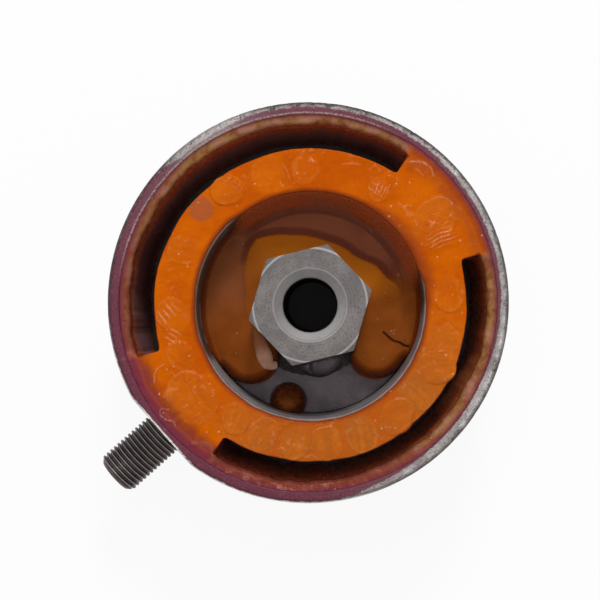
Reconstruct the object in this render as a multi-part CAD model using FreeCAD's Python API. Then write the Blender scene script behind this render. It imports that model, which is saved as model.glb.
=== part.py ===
"""Engine mount: a round polyurethane bush cast between a steel outer ring and a
welded steel core, with a threaded stud standing out of the ring's side.

Millimetres. +Z runs up the bolt bore of the core. The origin is where the bore's
axis meets the stud's level, half way up the ring. +X runs along the stud.
Angles are in degrees, counted from +X towards +Y, seen from above.
"""

import FreeCAD, Part
import math
import os

Vector = FreeCAD.Vector
UP = Vector(0, 0, 1)

# ---- Outer ring: a turned steel tube with one flat on its side ----------------------
ring_outer_dia = 100.0
ring_wall = 3.0
ring_height = 52.0
ring_edge_radius = 1.0          # rolled outer edges of both rims
ring_inner_chamfer = 0.4
flat_depth = 1.35               # how far the stud's flat is cut below the round
core_offset = 0.9               # the core sits this far to +Y of the ring's axis

# ---- Mounting stud: M12 x 1.25, its head bonded inside the ring ---------------------
stud_dia = 12.0
stud_reach = 20.0               # from the flat to the tip
stud_tip_chamfer = 1.3
stud_relief_dia = 10.4          # groove where the thread stops, just outside the flat
stud_relief_length = 0.5
stud_hole_clearance = 0.1       # all round the shank, in the ring's wall
stud_head_dia = 20.0
stud_head_height = 4.0

# ---- Core: tube, web plate and bolt boss, welded together ---------------------------
tube_outer_dia = 59.0
tube_wall = 1.2
tube_end_gap = 1.0              # the tube stops this far inside both rims
web_thickness = 4.0             # the web lies across the middle of the tube
web_fit = 0.05                  # all round, between web and tube
hex_across_flats = 27.0
hex_turn_deg = 2.2              # from a flat facing +X
hex_proud = 5.0                 # the boss stands this far above the ring's rim
hex_chamfer_dia = 28.1          # turned face on the end of the hexagon
hex_chamfer_deg = 25.0
bolt_bore_dia = 13.5
countersink_dia = 18.0
countersink_deg = 45.0
spigot_dia = 22.0               # round end of the boss, through the web
spigot_fit = 0.05               # all round, in the web's hole
spigot_end_gap = 0.5            # the spigot stops this far inside the lower rim
spigot_chamfer = 0.8
weld_leg = 3.0                  # fillet weld between boss and web
weld_underlap = 1.0             # bead and lump reach this far inside the flats
weld_lump_radius = 7.5          # where the bead was started and finished
weld_lump_height = 2.2
weld_lump_edge_radius = 1.5
weld_lump_out = 11.5            # lump centre, out from the bore's axis
weld_lump_deg = 58.0

# ---- Polyurethane bush: liner, two bridges and a thick ring, cast in one ------------
liner_thickness = 2.3
liner_drop = 1.0                # the liner's lip lies this far below the rim
bush_lower_gap = 1.0            # the bush stops this far above the lower rim
void_width = 5.6                # radial gap left free for the core to move
bridge_deg = 40.0               # each bridge takes this much of the circle
bush_turn_deg = -4.8            # the bridges are cast a little off the stud's line
void_corner_radius = 1.6
lip_radius = 1.0                # rounded upper edge against the tube
scar_count = 12                 # trimmed casting stubs round the top
scar_dia = 9.4
scar_height = 0.8
scar_edge = 0.5
scar_inset = 4.7                # scar centre, in from the thick ring's outer face
bridge_scar_dia = 11.6
bridge_scar_inset = 1.0         # the same, for the two on the bridges

# ---- Polyurethane left in the core: a C-shaped pad, its wall and a round nub --------
pad_height = 7.0
pad_edge_radius = 2.5           # rounded edge of both free ends
pad_underlap = 1.5              # the pad's band starts this far inside the flats
pad_gap_deg = 109.8             # between the centres of the two rounded ends
pad_gap_middle_deg = 51.0
pocket_depth = 3.0              # low floor in the pad, far from the gap
pocket_deg = 112.0
pocket_middle_deg = 228.0
pocket_collar = 5.0             # left standing round the hexagon's flats
wall_deg = 120.0                # casting that climbs the tube, opposite the gap
wall_middle_deg = 211.0
wall_foot = 3.6                 # its thickness where it meets the pad
wall_lip = 0.7                  # its thickness at the top
wall_drop = 0.4                 # its top lies this far below the tube's end
nub_dia = 9.8
nub_height = 6.0
nub_edge_radius = 2.4
nub_inset = 2.7                 # nub centre, in from the tube's wall
nub_deg = 34.8

# ---- Worked out from the sizes above ------------------------------------------------
rim_z = ring_height / 2
ring_radius = ring_outer_dia / 2
ring_bore_radius = ring_radius - ring_wall
ring_axis = Vector(0, -core_offset, 0)
flat_x = ring_radius - flat_depth
stud_radius = stud_dia / 2
tube_radius = tube_outer_dia / 2
tube_bore_radius = tube_radius - tube_wall
tube_z = rim_z - tube_end_gap
web_top = web_thickness / 2
hex_flat_radius = hex_across_flats / 2
hex_corner_radius = hex_flat_radius / math.cos(math.radians(30))
hex_top = rim_z + hex_proud
void_outer_radius = ring_bore_radius - liner_thickness
void_inner_radius = void_outer_radius - void_width
bush_bottom = -rim_z + bush_lower_gap
pad_top = web_top + pad_height
pad_root_radius = hex_flat_radius - pad_underlap
pad_band_radius = (pad_root_radius + tube_bore_radius) / 2
pad_half_width = (tube_bore_radius - pad_root_radius) / 2
pocket_floor = pad_top - pocket_depth
beyond = 10.0                   # cutters run this far past what they cut


def polar(radius, degrees, z=0.0):
    """The point at this radius and angle about the core's axis."""
    angle = math.radians(degrees)
    return Vector(radius * math.cos(angle), radius * math.sin(angle), z)


def cylinder(radius, low, high, centre=Vector(0, 0, 0)):
    return Part.makeCylinder(radius, high - low, centre + Vector(0, 0, low), UP)


def tube(outer, inner, low, high, centre=Vector(0, 0, 0)):
    wall = cylinder(outer, low, high, centre)
    return wall.cut(cylinder(inner, low - beyond, high + beyond, centre))


def revolved(corners, degrees=360.0, start=0.0, centre=Vector(0, 0, 0)):
    """Turn an outline of (radius, z) corners about the vertical through centre."""
    points = [Vector(radius, 0, z) for radius, z in corners]
    face = Part.Face(Part.makePolygon(points + points[:1]))
    face.rotate(Vector(0, 0, 0), UP, start)
    face.translate(centre)
    return face.revolve(centre, UP, degrees)


def wedge(middle_deg, width_deg, low, high):
    """A sector of the circle, wide enough to reach past the ring."""
    reach = ring_outer_dia
    half = width_deg / 2
    corners = [Vector(0, 0, low), polar(reach, middle_deg - half, low)]
    corners.append(polar(reach, middle_deg + half, low))
    arc = Part.Arc(corners[1], polar(reach, middle_deg, low), corners[2]).toShape()
    sides = [Part.makeLine(corners[0], corners[1]), arc]
    sides.append(Part.makeLine(corners[2], corners[0]))
    return Part.Face(Part.Wire(sides)).extrude(Vector(0, 0, high - low))


def rounded_profile(outer, inner, top, bottom, radius):
    """A ring's section with its two outer corners rounded, as a face in XZ."""
    turn = radius * (1 - math.cos(math.radians(45)))
    low, high = bottom + radius, top - radius
    lines = [
        Part.makeLine(Vector(inner, 0, bottom), Vector(outer - radius, 0, bottom)),
        Part.Arc(
            Vector(outer - radius, 0, bottom),
            Vector(outer - turn, 0, bottom + turn),
            Vector(outer, 0, low),
        ).toShape(),
        Part.makeLine(Vector(outer, 0, low), Vector(outer, 0, high)),
        Part.Arc(
            Vector(outer, 0, high),
            Vector(outer - turn, 0, top - turn),
            Vector(outer - radius, 0, top),
        ).toShape(),
        Part.makeLine(Vector(outer - radius, 0, top), Vector(inner, 0, top)),
        Part.makeLine(Vector(inner, 0, top), Vector(inner, 0, bottom)),
    ]
    return Part.Face(Part.Wire(lines))


def stud_cylinder(radius, start, end):
    """A cylinder along the stud's axis, between two distances along X."""
    return Part.makeCylinder(radius, end - start, ring_axis + Vector(start, 0, 0), Vector(1, 0, 0))


def outer_ring():
    section = rounded_profile(ring_radius, ring_bore_radius, rim_z, -rim_z, ring_edge_radius)
    section.translate(ring_axis)
    ring = section.revolve(ring_axis, UP, 360)
    mouth = ring_bore_radius + ring_inner_chamfer
    for end in (-1, 1):
        rim = end * rim_z
        inside = end * (rim_z - ring_inner_chamfer)
        corners = [(ring_bore_radius, inside), (mouth, rim), (ring_bore_radius, rim)]
        ring = ring.cut(revolved(corners, centre=ring_axis))
    slab = Part.makeBox(beyond, ring_outer_dia, ring_height + 2 * beyond)
    slab.translate(ring_axis + Vector(flat_x, -ring_radius, -rim_z - beyond))
    hole = stud_cylinder(stud_radius + stud_hole_clearance, 0, ring_radius + beyond)
    return ring.cut(slab).cut(hole)


def mounting_stud():
    """Round-headed stud; the head's outer face follows the ring's bore."""
    tip = flat_x + stud_reach
    relief_end = flat_x + stud_relief_length
    shank = stud_cylinder(stud_radius, ring_bore_radius - stud_head_height, flat_x)
    relief = stud_cylinder(stud_relief_dia / 2, flat_x, relief_end)
    thread = stud_cylinder(stud_radius, relief_end, tip - stud_tip_chamfer)
    point = Part.makeCone(
        stud_radius,
        stud_radius - stud_tip_chamfer,
        stud_tip_chamfer,
        ring_axis + Vector(tip - stud_tip_chamfer, 0, 0),
        Vector(1, 0, 0),
    )
    head = stud_cylinder(stud_head_dia / 2, ring_bore_radius - stud_head_height, ring_radius)
    head = head.common(cylinder(ring_bore_radius, -rim_z, rim_z, ring_axis))
    return head.fuse([shank, relief, thread, point]).removeSplitter()


def inner_tube():
    return tube(tube_radius, tube_bore_radius, -tube_z, tube_z)


def web_plate():
    hole = spigot_dia / 2 + spigot_fit
    return tube(tube_bore_radius - web_fit, hole, -web_top, web_top)


def hexagon(low, high):
    corners = [polar(hex_corner_radius, hex_turn_deg + 30 + 60 * side, low) for side in range(6)]
    face = Part.Face(Part.makePolygon(corners + corners[:1]))
    return face.extrude(Vector(0, 0, high - low))


def hex_boss():
    """Hexagon bar, turned down to a spigot below the web, bored right through."""
    face_radius = hex_chamfer_dia / 2
    drop = (hex_corner_radius - face_radius) * math.tan(math.radians(hex_chamfer_deg))
    turned = revolved([
        (0, web_top),
        (hex_corner_radius, web_top),
        (hex_corner_radius, hex_top - drop),
        (face_radius, hex_top),
        (0, hex_top),
    ])
    head = hexagon(web_top, hex_top).common(turned)
    low = -rim_z + spigot_end_gap
    radius = spigot_dia / 2
    spigot = revolved([
        (0, low),
        (radius - spigot_chamfer, low),
        (radius, low + spigot_chamfer),
        (radius, web_top),
        (0, web_top),
    ])
    bore = bolt_bore_dia / 2
    mouth = countersink_dia / 2
    depth = (mouth - bore) / math.tan(math.radians(countersink_deg))
    boss = head.fuse(spigot).removeSplitter()
    boss = boss.cut(cylinder(bore, low - beyond, hex_top + beyond))
    return boss.cut(Part.makeCone(bore, mouth, depth, Vector(0, 0, hex_top - depth), UP))


def boss_weld():
    """Fillet weld that holds the boss on the web, with a lump where it closes."""
    outer = hex_corner_radius + weld_leg
    inner = hex_flat_radius - weld_underlap
    bead = revolved([
        (inner, web_top),
        (outer, web_top),
        (hex_corner_radius, web_top + weld_leg),
        (inner, web_top + weld_leg),
    ])
    lump_centre = polar(weld_lump_out, weld_lump_deg)
    lump = cylinder(weld_lump_radius, web_top, web_top + weld_lump_height, lump_centre)
    top_edge = [edge for edge in lump.Edges if edge.BoundBox.ZMin > web_top + weld_lump_height / 2]
    lump = lump.makeFillet(weld_lump_edge_radius, top_edge)
    clear = hexagon(web_top - beyond, hex_top)
    return bead.fuse(lump).removeSplitter().cut(clear)


def bush_void(middle_deg):
    """One crescent void, with its four upright corners rounded."""
    low, high = bush_bottom - beyond, rim_z + beyond
    gap = cylinder(void_outer_radius, low, high, ring_axis)
    gap = gap.cut(cylinder(void_inner_radius, low - beyond, high + beyond))
    gap = gap.common(wedge(middle_deg, 180 - bridge_deg, low, high))
    upright = [edge for edge in gap.Edges if edge.BoundBox.ZLength > ring_height]
    return gap.makeFillet(void_corner_radius, upright)


def scar(radius, degrees, diameter):
    """A casting stub trimmed off just above the bush's top."""
    foot = diameter / 2
    return Part.makeCone(foot, foot - scar_edge, scar_height, polar(radius, degrees, rim_z), UP)


def polyurethane_bush():
    bush = cylinder(ring_bore_radius, bush_bottom, rim_z, ring_axis)
    bush = bush.cut(cylinder(tube_radius, bush_bottom - beyond, rim_z + beyond))
    for side in (90, 270):
        middle = bush_turn_deg + side
        bush = bush.cut(bush_void(middle))
        lip = tube(ring_radius, void_outer_radius, rim_z - liner_drop, rim_z + beyond, ring_axis)
        bush = bush.cut(lip.common(wedge(middle, 180 - bridge_deg, rim_z - beyond, rim_z + beyond)))
    turn = lip_radius * (1 - math.cos(math.radians(45)))
    rounding = Part.Wire([
        Part.makeLine(Vector(tube_radius + lip_radius, 0, rim_z), Vector(tube_radius, 0, rim_z)),
        Part.makeLine(Vector(tube_radius, 0, rim_z), Vector(tube_radius, 0, rim_z - lip_radius)),
        Part.Arc(
            Vector(tube_radius, 0, rim_z - lip_radius),
            Vector(tube_radius + turn, 0, rim_z - turn),
            Vector(tube_radius + lip_radius, 0, rim_z),
        ).toShape(),
    ])
    bush = bush.cut(Part.Face(rounding).revolve(Vector(0, 0, 0), UP, 360))
    step = 360 / scar_count
    for number in range(scar_count):
        on_bridge = number % (scar_count // 2) == 0
        diameter = bridge_scar_dia if on_bridge else scar_dia
        inset = bridge_scar_inset if on_bridge else scar_inset
        degrees = bush_turn_deg + number * step
        bush = bush.fuse(scar(void_inner_radius - inset, degrees, diameter))
    bush = bush.removeSplitter()
    return bush.cut(mounting_stud())


def cup_pad():
    """C-shaped casting on the web: rounded free ends, a low floor and a tall wall."""
    opposite = pad_gap_middle_deg + 180
    band = tube(tube_bore_radius, pad_root_radius, web_top, pad_top)
    band = band.common(wedge(opposite, 360 - pad_gap_deg, web_top - 1, pad_top + 1))
    ends = []
    for side in (-1, 1):
        centre = polar(pad_band_radius, pad_gap_middle_deg + side * pad_gap_deg / 2)
        end = cylinder(pad_half_width, web_top, pad_top, centre)
        top_edge = [edge for edge in end.Edges if edge.BoundBox.ZMin > pad_top - pad_height / 2]
        ends.append(end.makeFillet(pad_edge_radius, top_edge))
    pad = band.fuse(ends).removeSplitter()
    pad = pad.common(cylinder(tube_bore_radius, web_top, pad_top))
    floor = tube(tube_bore_radius + 1, hex_flat_radius + pocket_collar, pocket_floor, pad_top + 1)
    pad = pad.cut(floor.common(wedge(pocket_middle_deg, pocket_deg, pocket_floor - 1, pad_top + 2)))
    wall_top = tube_z - wall_drop
    wall = revolved([
        (tube_bore_radius, pocket_floor),
        (tube_bore_radius - wall_foot, pocket_floor),
        (tube_bore_radius - wall_lip, wall_top),
        (tube_bore_radius, wall_top),
    ], wall_deg, wall_middle_deg - wall_deg / 2)
    pad = pad.fuse(wall).removeSplitter()
    return pad.cut(hexagon(web_top - beyond, hex_top)).cut(boss_weld())


def wall_nub():
    """Round blob of casting on the web, against the tube's wall, inside the pad's gap."""
    centre = polar(tube_bore_radius - nub_inset, nub_deg)
    nub = cylinder(nub_dia / 2, web_top, web_top + nub_height, centre)
    top_edge = [edge for edge in nub.Edges if edge.BoundBox.ZMin > web_top + nub_height / 2]
    nub = nub.makeFillet(nub_edge_radius, top_edge)
    return nub.common(cylinder(tube_bore_radius, web_top - 1, rim_z)).cut(boss_weld())


PIECES = {
    "outer_ring": outer_ring,
    "mounting_stud": mounting_stud,
    "polyurethane_bush": polyurethane_bush,
    "inner_tube": inner_tube,
    "web_plate": web_plate,
    "hex_boss": hex_boss,
    "boss_weld": boss_weld,
    "cup_pad": cup_pad,
    "wall_nub": wall_nub,
}

os.makedirs("parts", exist_ok=True)
for name, make in PIECES.items():
    shape = make()
    if not shape.isValid() or len(shape.Solids) != 1:
        print(name, "is not one valid solid:", len(shape.Solids))
    shape = shape.Solids[0]
    shape.exportStep("parts/" + name + ".step")
    print(name, "volume", round(shape.Volume / 1000, 2), "cm3")
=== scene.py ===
"""Looks of the engine mount: machined steel ring, hand-trimmed orange polyurethane,
welded steel core and a threaded stud, laid on a white table under soft light.

Meshes are worked out in millimetres, in the part's frame: +Z up the bolt bore, +X along
the stud. Angles are in degrees from +X towards +Y. They turn to metres in Patchwork.
"""

import math
from collections import namedtuple

import bmesh
import bpy
import numpy as np
from mathutils import Matrix, Vector

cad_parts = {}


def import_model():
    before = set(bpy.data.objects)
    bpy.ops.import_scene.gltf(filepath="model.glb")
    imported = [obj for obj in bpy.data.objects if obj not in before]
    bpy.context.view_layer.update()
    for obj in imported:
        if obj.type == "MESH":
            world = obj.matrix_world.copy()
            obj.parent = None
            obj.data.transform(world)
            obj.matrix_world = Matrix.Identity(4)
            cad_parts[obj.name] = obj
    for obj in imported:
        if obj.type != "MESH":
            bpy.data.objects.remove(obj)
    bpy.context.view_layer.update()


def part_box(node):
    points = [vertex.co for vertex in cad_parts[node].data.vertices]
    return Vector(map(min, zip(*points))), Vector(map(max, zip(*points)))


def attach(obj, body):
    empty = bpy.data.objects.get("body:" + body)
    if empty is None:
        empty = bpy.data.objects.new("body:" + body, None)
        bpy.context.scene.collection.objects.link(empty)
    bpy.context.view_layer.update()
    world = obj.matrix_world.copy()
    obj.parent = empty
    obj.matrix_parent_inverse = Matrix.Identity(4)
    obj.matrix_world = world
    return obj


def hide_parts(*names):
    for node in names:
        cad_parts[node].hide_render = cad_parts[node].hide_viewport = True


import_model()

MM = 0.001
WELD = 1e-4                      # points nearer than this, in mm, are one point
GAP = 0.02                       # keeps faces that touch from lying in one plane


# ---- Sizes: what the frame gives, then the finish's own ----------------------------
def box_mm(node):
    low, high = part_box(node)
    return np.array(low) / MM, np.array(high) / MM


RING_LOW, RING_HIGH = box_mm("outer_ring")
STUD_LOW, STUD_HIGH = box_mm("mounting_stud")
BUSH_LOW, BUSH_HIGH = box_mm("polyurethane_bush")
TUBE_LOW, TUBE_HIGH = box_mm("inner_tube")
WEB_LOW, WEB_HIGH = box_mm("web_plate")
BOSS_LOW, BOSS_HIGH = box_mm("hex_boss")

RIM_Z = RING_HIGH[2]
FLOOR_Z = RING_LOW[2]
RING_RADIUS = (RING_HIGH[1] - RING_LOW[1]) / 2 - 0.01   # kept just inside the solid
RING_Y = (RING_HIGH[1] + RING_LOW[1]) / 2      # the ring's axis lies off the core's
FLAT_X = RING_HIGH[0]
RING_BORE = (BUSH_HIGH[1] - BUSH_LOW[1]) / 2
BUSH_FOOT = BUSH_LOW[2]
TUBE_RADIUS = TUBE_HIGH[0]
TUBE_BORE = 28.3
TUBE_TOP = TUBE_HIGH[2]
WEB_TOP = WEB_HIGH[2]
WEB_HOLE = 11.05
HEX_TOP = BOSS_HIGH[2]
SPIGOT_FOOT = BOSS_LOW[2]

VOID_OUTER = 44.7
VOID_INNER = 39.1
BRIDGE_DEG = 40.0
BUSH_TURN = -4.8
VOID_CORNER = 0.8
LIP_RADIUS = 1.5
TRIM_Z = RIM_Z - 0.1             # where the knife cut the bush's top

HEX_FLAT = 13.5
HEX_TURN = 2.2
HEX_CORNER_DEG = 29.2            # the flats end just short of the 30 degrees of a sharp corner
HEX_FACE_RADIUS = 14.05
HEX_CHAMFER = math.tan(math.radians(25))
HEX_EDGE = 0.16                  # rounding between the flats and the turned end
BORE_RADIUS = 6.75
SINK_RADIUS = 9.0
SPIGOT_RADIUS = 11.0
SPIGOT_CHAMFER = 0.8
WELD_RADIUS = 18.39
LUMP_OUT, LUMP_DEG, LUMP_RADIUS = 11.5, 58.0, 7.45
LUMP_SEAM_DEG = 48.0

PAD_TOP = WEB_TOP + 7.0
PAD_BAND = 20.15
PAD_HALF = 8.15
PAD_ROUNDING = 3.0
PAD_WALL_FOOT = TUBE_BORE - 4.3
PAD_ENDS = (105.9, 356.1)
WALL_ENDS = (151.0, 271.0)       # the casting climbs the tube between these
NUB_DEG = 34.8
NUB_RADIUS = 4.85
NUB_HEIGHT = 6.0

STUD_HEAD_X = STUD_LOW[0]
STUD_TIP = STUD_HIGH[0]
STUD_RADIUS = 6.0
STUD_HEAD_RADIUS = 10.0
STUD_HOLE = STUD_RADIUS + 0.1
STUD_CHAMFER = 1.3
STUD_TIP_RADIUS = 4.1
THREAD_START = FLAT_X + 0.35
THREAD_PITCH = 1.25
THREAD_DEPTH = 0.77


# ---- Noise and shaping, on numpy arrays --------------------------------------------
def smooth(low, high, value):
    """0 at low and 1 at high, eased between them."""
    t = np.clip((value - low) / (high - low), 0.0, 1.0)
    return t * t * (3 - 2 * t)


def value_noise(points, cell, seed):
    """Smooth noise from -1 to 1 at points (..., 3), with about one bump per cell."""
    table = np.random.default_rng(seed).uniform(-1, 1, 4096)
    scaled = points / cell
    base = np.floor(scaled).astype(np.int64)
    part = scaled - base
    part = part * part * (3 - 2 * part)
    total = np.zeros(points.shape[:-1])
    for corner in np.ndindex(2, 2, 2):
        step = np.array(corner)
        where = base + step
        code = where[..., 0] * 73856093 ^ where[..., 1] * 19349663 ^ where[..., 2] * 83492791
        weight = np.prod(np.where(step, part, 1 - part), axis=-1)
        total += weight * table[code & 4095]
    return total


def fractal(points, cell, seed, octaves=3):
    """Noise with finer and fainter noise on top."""
    total = 0
    for octave in range(octaves):
        total = total + value_noise(points, cell / 2 ** octave, seed + octave) / 2 ** octave
    return total


def flat_points(radius, degrees, z=0.0):
    """Points (..., 3) at these radii, angles and heights."""
    angle = np.radians(degrees)
    return np.stack(np.broadcast_arrays(radius * np.cos(angle), radius * np.sin(angle), z), -1)


def bearings(count):
    """So many angles, evenly spread round a circle."""
    return np.arange(count) * 360 / count


def turn_apart(a, b):
    """Signed angle from b to a, in degrees, within half a turn."""
    return (np.asarray(a) - b + 180) % 360 - 180


def around(degrees, middle, gone, full, shift=0.0):
    """1 up to `full` degrees either side of the middle, and 0 past `gone`."""
    return smooth(gone, full, np.abs(turn_apart(degrees, middle)) + shift)


def by_angle(degrees, pairs):
    """What (angle, value) pairs round a circle say at these angles."""
    return np.interp(degrees, *zip(*pairs), period=360)


def from_mark(x, y, degrees, radius, direction=0.0):
    """Places along and across a direction, from a mark at this angle and radius."""
    centre = flat_points(radius, degrees)
    dx, dy = x - centre[0], y - centre[1]
    run, rise = np.cos(np.radians(direction)), np.sin(np.radians(direction))
    return run * dx + rise * dy, run * dy - rise * dx


def far_from(spot, degrees, radius):
    """Distance in plan from a mark at this angle and radius."""
    return np.hypot(*from_mark(spot[..., 0], spot[..., 1], degrees, radius))


def curve(track, steps=6):
    """Places along a smooth line through a track of (angle, radius) points."""
    points = np.array([flat_points(radius, degrees)[:2] for degrees, radius in track])
    points = np.concatenate([2 * points[:1] - points[1:2], points, 2 * points[-1:] - points[-2:-1]])
    line = []
    for a, b, c, d in zip(points[:-3], points[1:-2], points[2:-1], points[3:]):
        for t in np.arange(steps) / steps:
            bend = (2 * a - 5 * b + 4 * c - d) * t ** 2 + (3 * b - a - 3 * c + d) * t ** 3
            line.append(b + 0.5 * ((c - a) * t + bend))
    return np.array(line + [points[-2]])


def track_distance(x, y, line):
    """How far these places lie from a line of points."""
    near = np.full(x.shape, 99.0)
    for start, end in zip(line[:-1], line[1:]):
        run = end - start
        share = np.clip(((x - start[0]) * run[0] + (y - start[1]) * run[1]) / (run @ run), 0, 1)
        near = np.minimum(near, np.hypot(x - start[0] - share * run[0], y - start[1] - share * run[1]))
    return near


def edge_drop(distance, radius):
    """How far a rounded edge has fallen, this far in from it."""
    inside = radius - np.clip(distance, 0, radius)
    return radius - np.sqrt(np.maximum(radius ** 2 - inside ** 2, 0))


def ring_reach(degrees, radius):
    """Distance from the core's axis to a circle about the ring's axis."""
    angle = np.radians(degrees)
    return RING_Y * np.sin(angle) + np.sqrt(radius ** 2 - (RING_Y * np.cos(angle)) ** 2)


def hex_reach(degrees):
    """Distance from the core's axis to the hexagon's outline, its corners just eased."""
    off = np.radians((np.asarray(degrees) - HEX_TURN + 30) % 60 - 30)
    return np.minimum(HEX_FLAT / np.cos(off), HEX_FLAT / math.cos(math.radians(HEX_CORNER_DEG)))


# ---- Meshes out of grids of points ---------------------------------------------------
def add_object(name, data):
    made = bpy.data.objects.new(name, data)
    bpy.context.scene.collection.objects.link(made)
    return made


class Patchwork:
    """Gathers grids of points, with masks, and welds them into one mesh."""

    def __init__(self):
        self.points, self.faces, self.masks = [], [], []
        self.count = 0

    def grid(self, points, wrap=False, **masks):
        rows, columns = points.shape[:2]
        index = self.count + np.arange(rows * columns).reshape(rows, columns)
        across = np.roll(index, -1, 1) if wrap else index[:, 1:]
        along = index if wrap else index[:, :-1]
        quads = np.stack([along[:-1], across[:-1], across[1:], along[1:]], -1)
        self.faces.append(quads.reshape(-1, 4))
        self.points.append(points.reshape(-1, 3))
        filled = {name: np.broadcast_to(mask, (rows, columns)) for name, mask in masks.items()}
        self.masks.append({name: mask.reshape(-1) for name, mask in filled.items()})
        self.count += rows * columns
        return self

    def strip(self, *edges, wrap=False, **masks):
        """Faces between rows of points."""
        return self.grid(np.stack(edges), wrap, **masks)

    def wall(self, top, bottom, falls, wrap=False, **masks):
        """Rows between two edges; the first rows keep more of the top edge's place."""
        rows = []
        for fall, keep in falls:
            row = bottom + (top - bottom) * keep
            row[..., 2] = top[..., 2] + (bottom[..., 2] - top[..., 2]) * fall
            rows.append(row)
        return self.strip(*rows, wrap=wrap, **masks)

    def build(self, name, slot, material, nodes, sharp_deg):
        points = np.concatenate(self.points)
        keys = np.round(points / WELD).astype(np.int64)
        _, first, place = np.unique(keys, axis=0, return_index=True, return_inverse=True)
        kept = []
        for face in place.reshape(-1)[np.concatenate(self.faces)].tolist():
            corners = list(dict.fromkeys(face))
            if len(corners) > 2:
                kept.append(corners)
        mesh = bpy.data.meshes.new(name)
        mesh.from_pydata((points[first] * MM).tolist(), [], kept)
        for mask in sorted({key for masks in self.masks for key in masks}):
            parts = []
            for masks, patch in zip(self.masks, self.points):
                parts.append(masks.get(mask, np.zeros(len(patch))))
            layer = mesh.attributes.new(mask, "FLOAT", "POINT")
            layer.data.foreach_set("value", np.concatenate(parts)[first].astype(np.float32))
        turned = bmesh.new()
        turned.from_mesh(mesh)
        bmesh.ops.recalc_face_normals(turned, faces=turned.faces)
        turned.to_mesh(mesh)
        turned.free()
        mesh.shade_smooth()
        mesh.set_sharp_from_angle(angle=math.radians(sharp_deg))
        mesh.materials.append(material)
        piece = add_object(name, mesh)
        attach(piece, "root")
        if nodes:
            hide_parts(*nodes)
        return piece


# Down a wall: (share of the fall, how much of the top edge's own place is kept).
STRAIGHT = [(0, 1), (0.5, 1), (1, 1)]
VOID_WALL = [(0, 1), (0.01, 0.9), (0.03, 0.5), (0.06, 0.1)]
VOID_WALL += [(fall, 0) for fall in (0.1, 0.15, 0.2, 0.3, 0.4, 0.55, 0.75, 1)]


def closed(rows):
    """Rows of a grid, with the first one once more at the end."""
    return np.concatenate([rows, rows[:1]])


def rounded_corner(corner, before, after, radius, steps=5):
    """Points of an arc that rounds one corner of an outline of (radius, z)."""
    corner = np.array(corner, float)
    to_before = np.array(before, float) - corner
    to_after = np.array(after, float) - corner
    to_before /= np.linalg.norm(to_before)
    to_after /= np.linalg.norm(to_after)
    half = math.acos(np.clip(to_before @ to_after, -1, 1)) / 2
    away = radius / math.tan(half)
    middle = to_before + to_after
    centre = corner + middle / np.linalg.norm(middle) * radius / math.sin(half)
    start, end = corner + to_before * away - centre, corner + to_after * away - centre
    sweep = math.pi - 2 * half
    points = []
    for t in np.arange(steps + 1) / steps:
        arm = math.sin((1 - t) * sweep) * start + math.sin(t * sweep) * end
        points.append(centre + arm / math.sin(sweep))
    return points


def rounded_outline(corners, spacing, upright=3.0):
    """A closed outline of (radius, z, rounding) corners, with points along its sides."""
    arcs = []
    for number, (radius, z, rounding) in enumerate(corners):
        before = corners[number - 1][:2]
        after = corners[(number + 1) % len(corners)][:2]
        if rounding:
            arcs.append(rounded_corner((radius, z), before, after, rounding))
        else:
            arcs.append([np.array((radius, z), float)])
    outline = []
    for arc, following in zip(arcs, arcs[1:] + arcs[:1]):
        outline.extend(arc)
        start, end = arc[-1], following[0]
        step = upright if abs(end[1] - start[1]) > abs(end[0] - start[0]) else spacing
        pieces = max(1, int(np.linalg.norm(end - start) / step))
        for piece in range(1, pieces):
            outline.append(start + (end - start) * piece / pieces)
    return np.array(outline)


def wall_outline(inner, outer, low, high, roundings, spacing, upright=3.0):
    """The cut through a tube's wall; roundings go inner low, outer low, outer high, inner high."""
    corners = [(inner, low), (outer, low), (outer, high), (inner, high)]
    rounded = [(*corner, rounding) for corner, rounding in zip(corners, roundings)]
    return rounded_outline(rounded, spacing, upright)


def lathe(outline, columns):
    """Radius, height and angle of an outline of (radius, z) turned about an axis."""
    return np.broadcast_arrays(outline[:, :1], outline[:, 1:], bearings(columns))


# ---- Materials -----------------------------------------------------------------------
class Value:
    """A node's output. Reckoning with it adds the nodes that work the result out."""

    def __init__(self, nodes, socket):
        self.nodes, self.socket = nodes, socket

    def other(self, output):
        """Another output of the same node."""
        return Value(self.nodes, self.socket.node.outputs[output])

    def __mul__(self, other):
        return self.nodes.math("MULTIPLY", self, other)

    def __add__(self, other):
        return self.nodes.math("ADD", self, other)

    def __sub__(self, other):
        return self.nodes.math("SUBTRACT", self, other)

    def __rsub__(self, other):
        return self.nodes.math("SUBTRACT", other, self)

    def larger(self, other):
        return self.nodes.math("MAXIMUM", self, other)

    def span(self, low, high, to_low=0.0, to_high=1.0):
        """From one span of numbers to another, eased at both ends."""
        ends = {"From Min": low, "From Max": high, "To Min": to_low, "To Max": to_high}
        return self.nodes.add("MapRange", {"Value": self, **ends}, interpolation_type="SMOOTHSTEP")

    def blend(self, first, second):
        """From one colour to another, by this share."""
        return self.nodes.add("Mix", {0: self, 6: first, 7: second}, 2, data_type="RGBA")


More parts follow.
